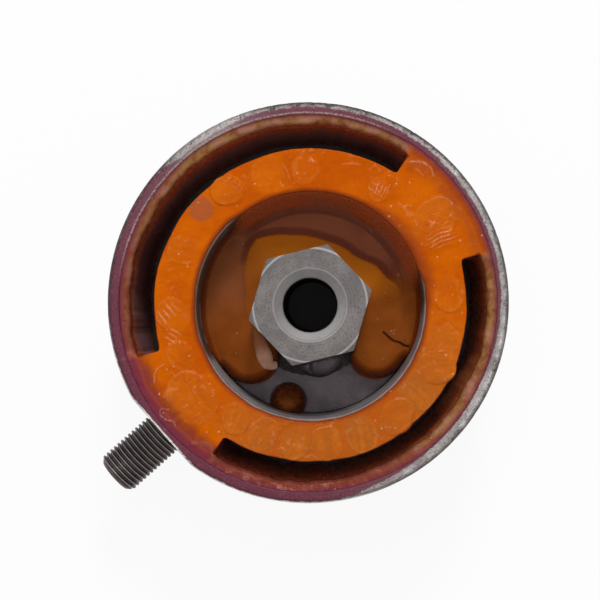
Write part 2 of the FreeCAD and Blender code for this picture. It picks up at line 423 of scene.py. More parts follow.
class Nodes:
    """A node tree, with short calls for the nodes that the finishes need."""

    def __init__(self, tree):
        self.tree = tree

    def put(self, socket, value):
        if isinstance(value, Value):
            self.tree.links.new(value.socket, socket)
        else:
            socket.default_value = value

    def add(self, kind, inputs, output=0, **settings):
        """Add a node with these inputs and settings, and give one of its outputs."""
        node = self.tree.nodes.new("ShaderNode" + kind)
        for name, setting in settings.items():
            setattr(node, name, setting)
        for socket, value in inputs.items():
            self.put(node.inputs[socket], value)
        return Value(self, node.outputs[output])

    def math(self, operation, first, second):
        return self.add("Math", {0: first, 1: second}, operation=operation)

    def place(self, stretch=(1, 1, 1)):
        """Position in metres, stretched along each axis."""
        where = self.add("TexCoord", {}, "Object")
        return self.add("Mapping", {"Vector": where, "Scale": stretch})

    def noise(self, per_mm, detail, rough, stretch=(1, 1, 1)):
        numbers = {"Scale": per_mm / MM, "Detail": detail, "Roughness": rough}
        return self.add("TexNoise", {"Vector": self.place(stretch), **numbers}, "Fac")

    def bubbles(self, per_mm, share, size):
        """Domes of a few small bubbles under the skin: 0 on most of the face."""
        cell = self.add("TexVoronoi", {"Vector": self.place(), "Scale": per_mm / MM}, "Distance")
        lot = self.add("SeparateColor", {"Color": cell.other("Color")})
        return lot.span(1 - share, 1 - share + 0.02) * cell.span(size, 0.0)

    def mask(self, name):
        return self.add("Attribute", {}, "Fac", attribute_name=name)

    def tinted(self, base, **tints):
        """A colour, tinted in turn where each of these masks says so."""
        for name, tint in tints.items():
            base = self.mask(name).blend(base, tint)
        return base

    def looked_at(self):
        """1 for the rays that show a thing, and 0 for those that only light others."""
        camera_ray = self.add("LightPath", {}, "Is Camera Ray")
        seen = camera_ray.larger(camera_ray.other("Is Glossy Ray"))
        return seen.larger(camera_ray.other("Is Transmission Ray"))


class Shader(Nodes):
    """A node material."""

    def __init__(self, name, **settings):
        self.material = bpy.data.materials.new(name)
        self.material.use_nodes = True
        super().__init__(self.material.node_tree)
        self.surface = self.tree.nodes["Principled BSDF"]
        for socket, value in settings.items():
            self.set(socket.replace("_", " "), value)

    def set(self, socket, value):
        self.put(self.surface.inputs[socket], value)

    def bump(self, *layers):
        """Stack (height, distance in mm) layers into the surface's normal."""
        normal = {}
        for height, distance in layers:
            inputs = {"Strength": 1.0, "Distance": distance * MM, "Height": height}
            normal = {"Normal": self.add("Bump", {**inputs, **normal})}
        self.set("Normal", normal["Normal"])


def colour(red, green, blue):
    """A colour as it shows on screen, from 0 to 255, as the linear one a shader takes."""
    linear = []
    for part in (red, green, blue):
        part /= 255
        linear.append(part / 12.92 if part <= 0.04045 else ((part + 0.055) / 1.055) ** 2.4)
    return (*linear, 1.0)


ORANGE = colour(203, 95, 1)
ORANGE_DEEP = colour(188, 80, 1)
ORANGE_CUT = colour(204, 106, 22)
TAN = colour(166, 90, 34)
# The pale colour next is painted where the casting is glossy, as a painted highlight.
PAINTED_HIGHLIGHT = colour(236, 160, 96)
LINER_LIT = colour(154, 116, 66)
LINER_BROWN = colour(132, 80, 48)
LINER_PALE = colour(176, 126, 106)
SHEEN = colour(214, 130, 60)     # tint of the soft reflection off the castings' skin
SHEEN_GLOSSY = (1.0, 0.95, 0.9, 1.0)
PRIMER = colour(114, 42, 64)
PRIMER_DARK = colour(76, 27, 43)
PRIMER_PALE = colour(142, 98, 108)
# The thin primer's colour, also painted light where the bore's edge catches the lamp.
PRIMER_THIN_LIT = colour(176, 150, 146)
RING_DARK, RING_LIGHT = colour(124, 117, 115), colour(152, 146, 144)
RING_PIT, RING_GRAIN = colour(58, 52, 50), colour(214, 212, 210)
RING_WORN, RING_SHADE = colour(212, 208, 207), colour(30, 16, 20)


def casting(name, subsurface):
    """Polyurethane: a little light passes in, and the skin shines softly."""
    return Shader(name, IOR=1.5, Specular_IOR_Level=0.35, Specular_Tint=SHEEN,
                  Subsurface_Weight=subsurface, Subsurface_Radius=(1.0, 0.3, 0.05),
                  Subsurface_Scale=1.2 * MM)


def bush_material():
    """Cast polyurethane: cut faces dull and pale, skin deep and shiny, thin edges red; pale painted
    highlights where glossy, a red band of painted shade along the inner lip, and painted light low in the
    voids.
    """
    shader = casting("polyurethane", 0.1)
    broad = shader.noise(0.09, 3, 0.55)
    fine = shader.noise(0.8, 4, 0.6)
    deep = shader.mask("deep")
    cut = shader.mask("cut") * fine.span(0.3, 0.65, 0.35, 1.0)
    base = broad.span(0.35, 0.65).blend(ORANGE_DEEP, ORANGE)
    base = (shader.mask("tan") * broad.span(0.2, 0.6, 0.5, 1.0)).blend(base, TAN)
    base = cut.blend(base, ORANGE_CUT)
    base = shader.tinted(base, red=colour(140, 56, 22), stain=colour(160, 82, 50))
    lip = shader.noise(0.5, 4, 0.6).span(0.42, 0.62).blend(LINER_LIT, LINER_BROWN)
    lip = shader.noise(0.22, 3, 0.6).span(0.45, 0.65, 0.0, 0.8).blend(lip, LINER_PALE)
    # Low in the voids a pale colour is painted light, and a darker one on some sides is painted shade.
    base = shader.tinted(base, liner=lip, liner_wall=colour(214, 124, 72), liner_red=colour(110, 42, 42),
                         primer=PRIMER, deep=colour(190, 142, 136), dim=colour(150, 112, 110))
    open_face = 1.0 - deep.larger(shader.mask("liner_wall"))
    domes = shader.bubbles(0.42, 0.35, 0.2) * open_face
    wet = shader.mask("wet").larger(domes.span(0.05, 0.4))
    # Glossy places take a little of the pale colour, a painted highlight; they also shine more.
    shader.set("Base Color", (wet * 0.12).blend(base, PAINTED_HIGHLIGHT))
    shader.set("Specular Tint", wet.blend(SHEEN, SHEEN_GLOSSY))
    shader.set("Roughness", fine.span(0.3, 0.7, 0.18, 0.32) + cut * 0.12 + deep * 0.4)
    shader.set("Specular IOR Level", (wet * 1.6 + (1.0 - deep)) * 0.3 + 0.03)
    shader.bump((fine * open_face, 0.16), (shader.noise(2.6, 3, 0.6) * open_face, 0.05), (domes, 0.15))
    return shader.material


def skin_material():
    """The polyurethane left in the core: as cast, brown in the depth and glossy; its pinkish floor is
    painted sheen, its dark red ends painted shade, its pale dots painted glints.
    """
    shader = casting("polyurethane_skin", 0.08)
    broad = shader.noise(0.12, 3, 0.5)
    fine = shader.noise(1.4, 4, 0.6)
    base = broad.span(0.35, 0.65).blend(colour(116, 55, 16), colour(132, 66, 24))
    base = shader.tinted(base, pink=colour(132, 76, 50), collar=colour(186, 104, 16),
                         floor=colour(124, 70, 54), wall=colour(196, 92, 46), strata=colour(158, 98, 76),
                         red=colour(108, 38, 8), glint=colour(150, 128, 112), hair=colour(26, 22, 20))
    shader.set("Base Color", base)
    shader.set("Roughness", fine.span(0.3, 0.7, 0.22, 0.38))
    low = 1.0 - shader.mask("steep")
    shader.bump((broad * low, 0.25), (fine * low, 0.03), (shader.bubbles(0.5, 0.25, 0.2) * low, 0.1))
    return shader.material


def nub_material():
    """The round blob: thick, dark polyurethane, lighter where light passes through."""
    shader = casting("polyurethane_nub", 0.1)
    fine = shader.noise(0.9, 4, 0.6)
    base = fine.span(0.35, 0.65).blend(colour(70, 30, 12), colour(92, 44, 20))
    shader.set("Base Color", shader.tinted(base, lit=colour(112, 56, 26)))
    shader.set("Roughness", fine.span(0.3, 0.7, 0.2, 0.36))
    shader.bump((fine, 0.08), (shader.bubbles(0.6, 0.2, 0.2), 0.1))
    return shader.material


def flash_material():
    """Thin torn flash: pale, milky polyurethane."""
    shader = casting("polyurethane_flash", 0.1)
    fine = shader.noise(1.2, 4, 0.6)
    milky = fine.blend(colour(172, 120, 98), colour(214, 168, 148))
    shader.set("Base Color", shader.tinted(milky, amber=colour(138, 78, 36)))
    shader.set("Roughness", fine.span(0.3, 0.7, 0.35, 0.55))
    shader.bump((fine, 0.06))
    return shader.material


def ring_material():
    """Turned steel, dull, with primer brushed over the rim in a ragged band."""
    shader = Shader("ring_steel")
    speckle = shader.noise(2.0, 4, 0.7)
    cloud = shader.noise(0.14, 4, 0.6)
    grain = shader.noise(5.0, 2, 0.5)
    blots = shader.noise(0.55, 4, 0.65)
    on_rim = 1.0 - shader.mask("side")
    ragged = (blots - 0.5) * 1.5 + ((speckle - 0.5) * 1.3 + shader.mask("primer"))
    painted = ragged.span(0.42, 0.58) * shader.mask("cover")
    steel = cloud.span(0.35, 0.65).blend(RING_DARK, RING_LIGHT)
    pits = speckle.span(0.52, 0.34, 0.0, 0.85) * on_rim.span(0.0, 1.0, 0.12, 1.0)
    steel = pits.blend(steel, RING_PIT)
    steel = grain.span(0.6, 0.75, 0.0, 0.5).blend(steel, RING_GRAIN)
    steel = (shader.mask("worn") * speckle.span(0.35, 0.6, 0.5, 1.0)).blend(steel, RING_WORN)
    primer = speckle.span(0.35, 0.65).blend(PRIMER_DARK, PRIMER)
    primer = blots.span(0.55, 0.8, 0.0, 0.4).blend(primer, PRIMER_PALE)
    primer = grain.span(0.66, 0.8, 0.0, 0.25).blend(primer, PRIMER_PALE)
    # Pale fringe by the bore: thin primer, and painted light where the edge catches the lamp.
    primer = (shader.mask("pale") * speckle.span(0.35, 0.55)).blend(primer, PRIMER_THIN_LIT)
    shader.set("Base Color", shader.tinted(painted.blend(steel, primer), shade=RING_SHADE))
    shader.set("Metallic", painted.span(0.2, 0.9, 0.85, 0.05))
    shader.set("Specular IOR Level", painted.span(0.2, 0.9, 0.5, 0.25))
    shader.set("Roughness", painted * -0.14 + speckle.span(0.3, 0.7, 0.4, 0.58))
    lay = shader.noise(1.0, 2, 0.6, (0.2, 0.2, 9.0))
    shader.bump((lay, 0.05), (speckle * on_rim, 0.12), (grain, 0.02))
    return shader.material


def steel_material(name, dark, light, rough, grain_mm=0.03, metal=0.9):
    """Bare steel with a speckled, slightly stained face."""
    shader = Shader(name)
    speckle = shader.noise(2.4, 4, 0.7)
    base = shader.noise(0.16, 4, 0.6).span(0.35, 0.65).blend(colour(*dark), colour(*light))
    shaded = tuple(0.5 * part for part in colour(*dark)[:3]) + (1.0,)
    base = speckle.span(0.52, 0.36, 0.0, 0.8).blend(base, shaded)
    # Lighter where worn; on the tube's bore and round the boss's countersink this is painted light.
    base = (shader.mask("worn") * 0.8).blend(base, colour(190, 188, 187))
    # The dark tint is painted shade down the boss's bore.
    shader.set("Base Color", shader.tinted(base, film=colour(68, 48, 35), dark=colour(10, 9, 10)))
    shader.set("Metallic", shader.mask("film") * (-0.8 * metal) + metal)
    shader.set("Roughness", speckle.span(0.3, 0.7, rough - 0.07, rough + 0.1))
    shader.bump((speckle, grain_mm), (shader.noise(7.0, 2, 0.5), grain_mm * 0.3))
    return shader.material


# ---- Outer ring ------------------------------------------------------------------------
# How much of the rim's width the primer covers, by angle: (angle, share).
PRIMER_REACH = [(-90, 0.3), (-84, 0.85), (-40, 0.9), (0, 1.0), (40, 1.0), (58, 0.85), (68, 0.4),
                (90, 0.12), (115, 0.1), (130, 0.25), (145, 0.35), (180, 0.35), (196, 0.5),
                (225, 0.6), (246, 0.6), (254, 0.4), (264, 0.35)]
# How thick the primer lies there, by angle: (angle, share).
PRIMER_COVER = [(-84, 0.9), (-40, 1.0), (50, 1.0), (66, 0.9), (90, 0.9), (180, 0.9), (205, 1.0),
                (240, 0.9), (256, 0.5), (266, 0.5)]
# How rough the tool and handling left the rim's outer edge, by angle: (angle, share).
RIM_DAMAGE = [(-80, 0.25), (60, 0.3), (150, 0.5), (180, 1.0), (230, 1.0), (262, 0.8)]


def primer_masks(radius, degrees, z, on_rim):
    """Where the ring's primer lies, how thick, where it is pale and where it looks dark."""
    reach = by_angle(degrees, PRIMER_REACH)
    cover = by_angle(degrees, PRIMER_COVER)
    across = (radius - RING_BORE) / (RING_RADIUS - RING_BORE)
    soft = 0.12 + 0.23 * smooth(0.2, 0.5, reach)
    ran_down = RIM_Z - 5 + 4 * value_noise(flat_points(RING_RADIUS, degrees), 5.0, 29)
    primer = smooth(reach + soft, reach - soft, across) * smooth(ran_down - 5, ran_down + 3, z)
    primer = np.maximum(primer, smooth(RING_BORE + 0.3, RING_BORE + 0.1, radius))
    outer_edge = smooth(RING_RADIUS - 1.2, RING_RADIUS - 0.1, radius) * smooth(RIM_Z - 4, RIM_Z - 1, z)
    inner_edge = smooth(RING_BORE + 0.4, RING_BORE + 0.15, radius) * on_rim
    shade = np.maximum(0.75 * outer_edge * smooth(0.6, 1.0, cover),
                       0.2 * around(degrees, 0, 110, 60) * inner_edge)
    # Pale fringe by the bore: thin primer, and painted light where the edge catches the lamp.
    pale = around(degrees, 255, 60, 40) * on_rim * smooth(RING_BORE + 0.55, RING_BORE + 0.3, radius)
    bare = smooth(0.45, 0.2, reach) * smooth(0.3, 0.6, across) * on_rim
    return {"primer": primer, "cover": cover, "pale": pale, "shade": shade}, bare


def rim_dents(radius, degrees, z, on_rim):
    """How deep the tool's chatter and the knocks on the rim go, and the side's fine skin."""
    spot = flat_points(radius, degrees, z)
    rough = np.abs(fractal(spot, 0.9, 11, 3))
    chatter = np.clip(fractal(spot * [1, 1, 0.3], 1.1, 17, 2) - 0.25, 0, 1)
    damage = by_angle(degrees, RIM_DAMAGE)
    outward = smooth(RING_BORE + 1.2, RING_RADIUS - 0.4, radius)
    dent = on_rim * outward * (0.08 * rough + damage * (0.35 * rough + 1.1 * chatter))
    skin = 0.02 * np.abs(fractal(spot * [0.25, 0.25, 3.0], 0.8, 23, 2))
    return rough, 0.6 * dent, skin * smooth(RING_BORE + 2, RING_RADIUS, radius)


def outer_ring():
    """The steel ring: rolled edges, one sharp flat, rims rough from the tool."""
    outline = wall_outline(RING_BORE, RING_RADIUS, FLOOR_Z, RIM_Z, (0.4, 1.0, 1.0, 0.4), 0.22, 3.4)
    radius, z, degrees = lathe(outline, 1200)
    on_rim = smooth(RIM_Z - 1.3, RIM_Z - 0.1, z)
    masks, bare = primer_masks(radius, degrees, z, on_rim)
    masks["side"] = smooth(RIM_Z - 0.8, RIM_Z - 3.0, z) * (radius > RING_RADIUS - 1.5)
    off_stud = turn_apart(degrees, 0)
    bare_line = smooth(-44, -20, off_stud) * smooth(80, 60, off_stud)
    outermost = smooth(RING_RADIUS - 0.45, RING_RADIUS - 0.3, radius)
    outermost = outermost * smooth(RIM_Z - 1.6, RIM_Z - 1.0, z)
    wear = np.clip(0.3 + fractal(flat_points(radius, degrees, z), 2.2, 27, 2), 0, 1)
    rough, dent, skin = rim_dents(radius, degrees, z, on_rim)
    radius = radius - dent - skin
    z = z - on_rim * (dent + 0.03 * rough)
    facing = np.cos(np.radians(degrees))
    flat = FLAT_X / np.maximum(facing, 0.01)
    cut = 0.75 * smooth(-0.65, -0.4, radius - flat) * (facing > 0.9)
    radius = np.where(facing > 0.5, np.minimum(radius, flat), radius)
    worn = np.maximum(outermost * bare_line, cut)
    masks["shade"] = masks["shade"] * (1 - worn)
    worn = np.maximum(worn, 0.55 * bare * wear)
    masks["primer"] = masks["primer"] * (1 - worn)
    masks["worn"] = worn
    points = flat_points(radius, degrees, z) + [0, RING_Y, 0]
    patch = Patchwork()
    patch.grid(closed(points), wrap=True, **{name: closed(mask) for name, mask in masks.items()})
    piece = patch.build("outer_ring_turned", "ring_steel", ring_material(), ["outer_ring"], 55)
    bore_through(piece, STUD_HOLE)


def bore_through(piece, radius):
    """Cut the stud's hole through the ring's wall."""
    mesh = bpy.data.meshes.new("cutter")
    shape = bmesh.new()
    bmesh.ops.create_cone(shape, cap_ends=True, segments=64, radius1=radius * MM, radius2=radius * MM,
                          depth=20 * MM)
    shape.to_mesh(mesh)
    shape.free()
    cutter = add_object("cutter", mesh)
    cutter.rotation_euler = (0, math.radians(90), 0)
    cutter.location = (FLAT_X * MM, RING_Y * MM, 0)
    hole = piece.modifiers.new("hole", "BOOLEAN")
    hole.operation = "DIFFERENCE"
    hole.object = cutter
    bpy.context.view_layer.update()
    shown = piece.evaluated_get(bpy.context.evaluated_depsgraph_get())
    old = piece.data
    bored = bpy.data.meshes.new_from_object(shown)
    piece.modifiers.clear()
    piece.data = bored
    bored.name = piece.name
    bpy.data.meshes.remove(old)
    bpy.data.objects.remove(cutter)
    bpy.data.meshes.remove(mesh)


# ---- Stud --------------------------------------------------------------------------------
def stud_radius_at(x, degrees):
    """The stud's radius: rolled thread outside the ring, plain shank inside it."""
    turn = (x / THREAD_PITCH - degrees / 360) % 1.0
    flank = np.clip(np.abs(turn - 0.5) * 2, 0, 1)
    thread = STUD_RADIUS - THREAD_DEPTH * smooth(0.08, 0.9, flank)
    plain = np.where(x < THREAD_START, STUD_RADIUS, thread)
    chamfer = STUD_RADIUS - np.clip(x - (STUD_TIP - STUD_CHAMFER), 0, None)
    return np.minimum(plain, chamfer)


def mounting_stud():
    """Threaded stud; its round head lies inside the ring and isn't seen."""
    degrees = bearings(144)
    angle = np.radians(degrees)

    def on_bore(radius):
        """Where a rod this thick meets the ring's bore."""
        return np.sqrt(RING_BORE ** 2 - (radius * np.cos(angle)) ** 2)

    rings = [(0.0, STUD_HEAD_X), (STUD_HEAD_RADIUS, STUD_HEAD_X),
             (STUD_HEAD_RADIUS, on_bore(STUD_HEAD_RADIUS)), (STUD_RADIUS, on_bore(STUD_RADIUS))]
    for x in [FLAT_X, *np.arange(THREAD_START + 0.01, STUD_TIP - GAP, 0.1), STUD_TIP]:
        rings.append((stud_radius_at(x, degrees), x))
    rings += [(STUD_TIP_RADIUS, STUD_TIP), (0.0, STUD_TIP)]
    radius = np.stack([np.broadcast_to(size, degrees.shape) for size, _ in rings])
    x = np.stack([np.broadcast_to(place, degrees.shape) for _, place in rings])
    points = np.stack([x, RING_Y + radius * np.cos(angle), radius * np.sin(angle)], -1)
    worn = smooth(STUD_RADIUS - 0.08, STUD_RADIUS, radius) * 0.45 * (x >= FLAT_X)
    material = steel_material("stud_steel", (78, 69, 68), (100, 89, 87), 0.42)
    patch = Patchwork().grid(points, wrap=True, worn=worn)
    patch.build("mounting_stud_thread", "stud_steel", material, ["mounting_stud"], 50)


# ---- Polyurethane bush ------------------------------------------------------------------
# Trimmed stubs and daubs on the top: (angle, radius of the centre, size, height, knife's
# direction, dullness, how clear its edge is).
SCARS = [
    (70.0, 34.4, 4.4, 0.12, 60, 0.7, 0.5), (99.0, 34.2, 4.4, 0.12, 100, 0.8, 0.5),
    (42.0, 34.6, 4.2, 0.16, 20, 0.5, 0.7), (124.0, 34.4, 3.8, 0.12, 140, 0.2, 0.3),
    (246.0, 34.8, 4.2, 0.12, 330, 0.0, 0.2), (15.0, 33.8, 4.0, 0.2, 30, 0.3, 0.5),
    (340.0, 34.6, 3.8, 0.15, 280, 0.1, 0.3), (356.8, 37.6, 6.4, 0.35, 250, 0.3, 0.8),
    (28.4, 34.2, 4.2, 0.32, 205, 0.4, 0.8), (55.0, 34.6, 4.4, 0.30, 240, 0.4, 0.7),
    (86.0, 34.8, 4.6, 0.45, 180, 0.3, 0.9), (112.6, 35.0, 4.8, 0.55, 150, 0.25, 1.0),
    (143.1, 34.4, 4.2, 0.28, 60, 0.1, 0.9), (172.6, 36.9, 5.9, 0.35, 195, 0.2, 0.8),
    (198.0, 33.2, 3.0, 0.2, 60, 0.0, 0.5), (230.3, 34.0, 3.8, 0.15, 20, 0.0, 0.3),
    (264.5, 35.2, 4.0, 0.5, 330, 0.1, 1.0), (295.0, 34.2, 4.2, 0.2, 300, 0.0, 0.4),
    (322.6, 34.2, 4.2, 0.2, 280, 0.0, 0.3),
]
# Parallel folds that the knife left: (angle, radius, direction, half length, half breadth,
# height, pitch).
FOLDS = [
    (165.5, 36.6, 162, 3.8, 2.2, 0.22, 1.0), (174.0, 36.9, 158, 4.0, 3.4, 0.04, 0.8),
    (322.0, 35.8, 88, 2.0, 3.2, 0.24, 1.4), (331.0, 35.0, 105, 1.8, 2.2, 0.18, 1.3),
    (197.0, 33.4, 20, 1.6, 1.6, 0.2, 1.0), (199.5, 33.2, 100, 1.6, 1.6, 0.16, 0.9),
    (212.0, 36.6, 135, 3.2, 0.9, 0.12, 1.0), (238.0, 33.4, 65, 2.6, 1.2, 0.07, 1.1),
    (259.0, 34.6, 15, 1.8, 1.2, 0.1, 1.0), (24.0, 33.0, 105, 2.4, 1.4, 0.07, 1.1),
    (189.0, 42.8, 95, 1.8, 0.7, 0.1, 1.0),
]
# Thin runs of casting on the top, as (points of angle and radius, half width, height).
RUNS = [
    ([(355.0, 43.6), (353.4, 45.2), (354.6, 46.2), (357.2, 45.8), (358.6, 44.8), (0.4, 45.0)],
     0.22, 0.3),
    ([(193.5, 43.4), (190.6, 45.0), (187.0, 45.3), (184.8, 44.4)], 0.26, 0.22),
    ([(340.5, 39.6), (341.6, 42.0), (345.0, 43.4)], 0.26, 0.2),
    ([(8.0, 45.0), (10.5, 43.6), (13.5, 43.2), (16.0, 44.4)], 0.7, 0.3),
    ([(350.5, 43.0), (349.0, 41.0), (350.5, 39.4)], 0.5, 0.2),
]
TAN_MIDDLE = 70.0                # the duller, hand-daubed side of the top
STAIN_DEG, STAIN_RADIUS, STAIN_SIZE = 277.0, 36.2, 3.6   # a brown stain
# How deep below its lip the liner's wall is still lit, by angle: (angle, mm); further down its colour
# turns pale as painted light.
LIT_DEPTH = [(228, 8), (270, 8), (318, 4), (348, 6), (20, 10), (48, 20), (70, 26), (93, 24),
             (120, 28), (140, 24), (190, 9)]
# How red the liner's lip and upper wall are, by angle: (angle, share).
LINER_REDNESS = [(228, 0.15), (270, 0.1), (300, 0.6), (345, 0.9), (20, 1.0), (60, 1.0), (80, 0.8),
                 (95, 0.2), (130, 0.1), (160, 0.1), (200, 0.15)]
IN_BRIDGE, IN_VOID = 150, 330    # columns of the grid in each bridge and along each void


def add_stubs(x, y, fields):
    """Trimmed stubs: low tilted plates with knife grooves and a lip at their high side."""
    for number, (degrees, radius, size, rise, knife, dull, clear) in enumerate(SCARS):
        along, across = from_mark(x, y, degrees, radius, knife)
        far = np.hypot(along / 1.12, across * 1.1)
        bearing = np.degrees(np.arctan2(across, along))
        reach = size * (1 + 0.1 * value_noise(flat_points(1.3, bearing, number * 5.0), 1.0, 31))
        inside = smooth(reach + 0.1, reach - 0.25, far)
        grooves = np.stack([along / 7, across + 0.03 * along ** 2, np.full_like(x, number * 3.0)], -1)
        streak = value_noise(grooves, 0.9, 41) * 0.6 + value_noise(grooves, 0.45, 43) * 0.4
        tilt = np.clip(0.5 + 0.5 * along / size, 0, 1)
        patchy = smooth(-0.3, 0.5, value_noise(flat_points(2.0, bearing, number * 3.0), 1.0, 37))
        lip = clear * patchy * np.exp(-((far - reach + 0.3) / 0.25) ** 2) * smooth(-0.4, 0.6, along / size)
        plate = rise * (0.25 + 0.75 * tilt) + 0.03 * streak * (0.3 + 0.7 * tilt) + 0.12 * lip
        sliced = (0.3 + 0.5 * smooth(-0.3, 0.5, streak)) * (0.4 + 0.6 * tilt)
        # Glints at the plate's lip and on its streaks: painted highlight and more gloss.
        glints = np.maximum(0.6 * lip, 0.1 * smooth(0.3, 0.6, streak))
        for name, value in {"height": plate, "cut": sliced, "tan": dull}.items():
            fields[name] = fields[name] * (1 - inside) + value * inside
        fields["wet"] = np.maximum(fields["wet"] * (1 - inside), inside * glints)


def add_folds(x, y, fields):
    """Folds: parallel ridges that bend and break off along their length."""
    for number, (degrees, radius, direction, length, breadth, rise, pitch) in enumerate(FOLDS):
        along, across = from_mark(x, y, degrees, radius, direction)
        beside = np.stack([*from_mark(x, y, degrees, radius), np.full_like(x, number * 7.0)], -1)
        phase = across + 0.02 * along ** 2 + 0.2 * value_noise(beside, 2.2, 53)
        ridge_number = np.stack([0 * x, np.round(phase / pitch), 0 * x], -1)
        ragged = 1 + 0.35 * value_noise(ridge_number, 0.7, 54)
        window = np.exp(-(along / (length * ragged)) ** 4 - (across / breadth) ** 4)
        ridge = (1 - np.abs(np.sin(np.pi * phase / pitch))) ** 1.5 * window
        fields["height"] = fields["height"] + rise * ridge
        # Ridge tops: painted highlight and more gloss.
        fields["wet"] = np.maximum(fields["wet"], smooth(0.25, 0.6, ridge) * min(1.0, rise / 0.2))


def scar_fields(x, y):
    """Height of the stubs, folds and runs at these places, and their masks."""
    fields = {name: np.zeros_like(x) for name in ("height", "cut", "wet", "tan")}
    add_stubs(x, y, fields)
    add_folds(x, y, fields)
    for track, width, rise in RUNS:
        far = track_distance(x, y, curve(track))
        lump = np.sqrt(np.clip(1 - (far / width) ** 2, 0, 1))
        fields["height"] = np.maximum(fields["height"], rise * lump)
        # Run tops: painted highlight and more gloss.
        fields["wet"] = np.maximum(fields["wet"], min(0.8, 0.2 / width) * smooth(0.3, 0.8, lump))
    return fields.pop("height"), fields


def bush_edge_bulge(degrees):
    """How far the trimmed stubs lean out over the thick ring's outer edge."""
    bulge = 0.2 * value_noise(flat_points(30.0, degrees), 6.0, 51) - 0.15
    for scar_degrees, radius, size, *_ in SCARS:
        apart = np.radians(turn_apart(degrees, scar_degrees)) * VOID_INNER
        reach = radius + np.sqrt(np.clip(size ** 2 - apart ** 2, 0, None)) - VOID_INNER
        bulge = np.where(np.abs(apart) < size, np.maximum(bulge, np.minimum(reach, 0.8)), bulge)
    return bulge


def bush_top(x, y, rim_distance, bore_distance):
    """Height of the trimmed top, with rounded edges at the voids and against the tube."""
    here = np.stack([x, y, np.zeros_like(x)], -1)
    height, masks = scar_fields(x, y)
    wavy = 0.16 * fractal(here, 4.0, 61, 2) + 0.05 * fractal(here, 1.2, 67, 2)
    chips = 0.3 + 0.18 * value_noise(here, 1.4, 71)
    fall = edge_drop(rim_distance, chips) + 0.6 * edge_drop(bore_distance, LIP_RADIUS)
    flat = smooth(0.2, 1.6, bore_distance)
    specks = smooth(0.55, 0.75, value_noise(here, 0.9, 73)) * smooth(0.0, 0.5, value_noise(here, 7.0, 75))
    # Specks: small bumps, with painted highlight and more gloss on them.
    masks["wet"] = np.maximum(masks["wet"], 0.4 * specks) * flat
    masks["cut"] = masks["cut"] * flat
    return TRIM_Z + (height + wavy + 0.12 * specks) * flat - fall, masks


def liner_masks(degrees, depth):
    """Colour of the liner's wall this far below its lip: lit, red, then a pale colour low down as painted
    light, darker on some sides as painted shade.
    """
    ragged = 0.9 * smooth(0, 0.5, depth) * value_noise(flat_points(45.0, degrees), 2.6, 85)
    depth = np.maximum(depth + ragged, 0)
    deep = smooth(1.2, 2.8, depth / by_angle(degrees, LIT_DEPTH))
    away = around(degrees, 325, 65, 30) + 0.5 * around(degrees, 85, 40, 20)
    return {"liner": 1.0, "liner_wall": smooth(0.0, 2.0, depth), "deep": deep, "dim": deep * away,
            "liner_red": by_angle(degrees, LINER_REDNESS) * smooth(7.0, 1.5, depth)}


def lip_radius_at(degrees):
    """How far in the casting's lip reaches over the tube's end; furthest at the tall wall."""
    covered = around(degrees, sum(WALL_ENDS) / 2, 63, 53)
    ragged = 0.12 * value_noise(flat_points(29.0, degrees), 3.0, 57)
    return TUBE_RADIUS - 0.7 - 0.55 * covered + ragged * (1 - covered)


# An edge that the bridges join on to: its angles and radii, and its top and foot as points.
Edge = namedtuple("Edge", "degrees radius top foot")


def bush_columns(radius):
    """Angles of the grid's columns at a void's wall, and how far each lies in a bridge."""
    reach = BRIDGE_DEG / 2 + math.degrees(VOID_CORNER / radius)
    angles = []
    for middle in (BUSH_TURN, BUSH_TURN + 180):
        angles.append(middle + np.linspace(-reach, reach, IN_BRIDGE, endpoint=False))
        angles.append(middle + np.linspace(reach, 180 - reach, IN_VOID, endpoint=False))
    angles = np.concatenate(angles)
    return angles, (reach - np.abs((angles - BUSH_TURN + 90) % 180 - 90)) * math.radians(radius)


def thick_ring(patch):
    """The ring round the tube, from its lip over the tube's end out to the voids."""
    angles, into_bridge = bush_columns(VOID_INNER)
    ease = np.linspace(0, 1, 46)[:, None]
    ease = ease - 0.06 * np.sin(2 * np.pi * ease)
    edge = VOID_INNER + bush_edge_bulge(angles) * smooth(0.5, -1.0, into_bridge)
    lip = lip_radius_at(angles)
    radius = lip + (edge - lip) * ease
    top = flat_points(radius, angles)
    to_void = np.hypot(edge - radius, np.clip(into_bridge, 0, None))
    z, masks = bush_top(top[..., 0], top[..., 1], to_void, radius - lip)
    top[..., 2] = np.where(radius < TUBE_RADIUS + 0.3, np.maximum(z, TUBE_TOP + 2 * GAP), z)
    # The red band along the inner lip, wider on the shaded side, is painted shade; the thin edge at the
    # voids is red in its own right.
    shaded = 1.6 + 3.0 * around(angles, 168, 34, 12)
    red = 0.9 * smooth(1.0, 0.1, (radius - lip) / shaded) + 0.3 * smooth(0.5, 0.0, to_void)
    masks["red"] = np.clip(red, 0, 1)
    masks["tan"] = 0.6 * around(angles, TAN_MIDDLE, 72, 40) + 0.6 * masks["tan"]
    masks["stain"] = 0.75 * smooth(STAIN_SIZE, STAIN_SIZE * 0.7, far_from(top, STAIN_DEG, STAIN_RADIUS))
    patch.grid(top, wrap=True, **masks)
    under = [top[0].copy(), flat_points(TUBE_RADIUS, angles)]
    for row in under:
        row[:, 2] = TUBE_TOP + GAP
    patch.strip(top[0], *under, wrap=True, red=1.0)
    spread = np.linspace(0, 1, 4)[:, None]
    foot = flat_points(TUBE_RADIUS + (VOID_INNER - TUBE_RADIUS) * spread, angles, BUSH_FOOT)
    patch.grid(foot, wrap=True)
    patch.wall(under[1], foot[0], STRAIGHT, wrap=True)
    return Edge(angles, edge, top[-1], foot[-1])


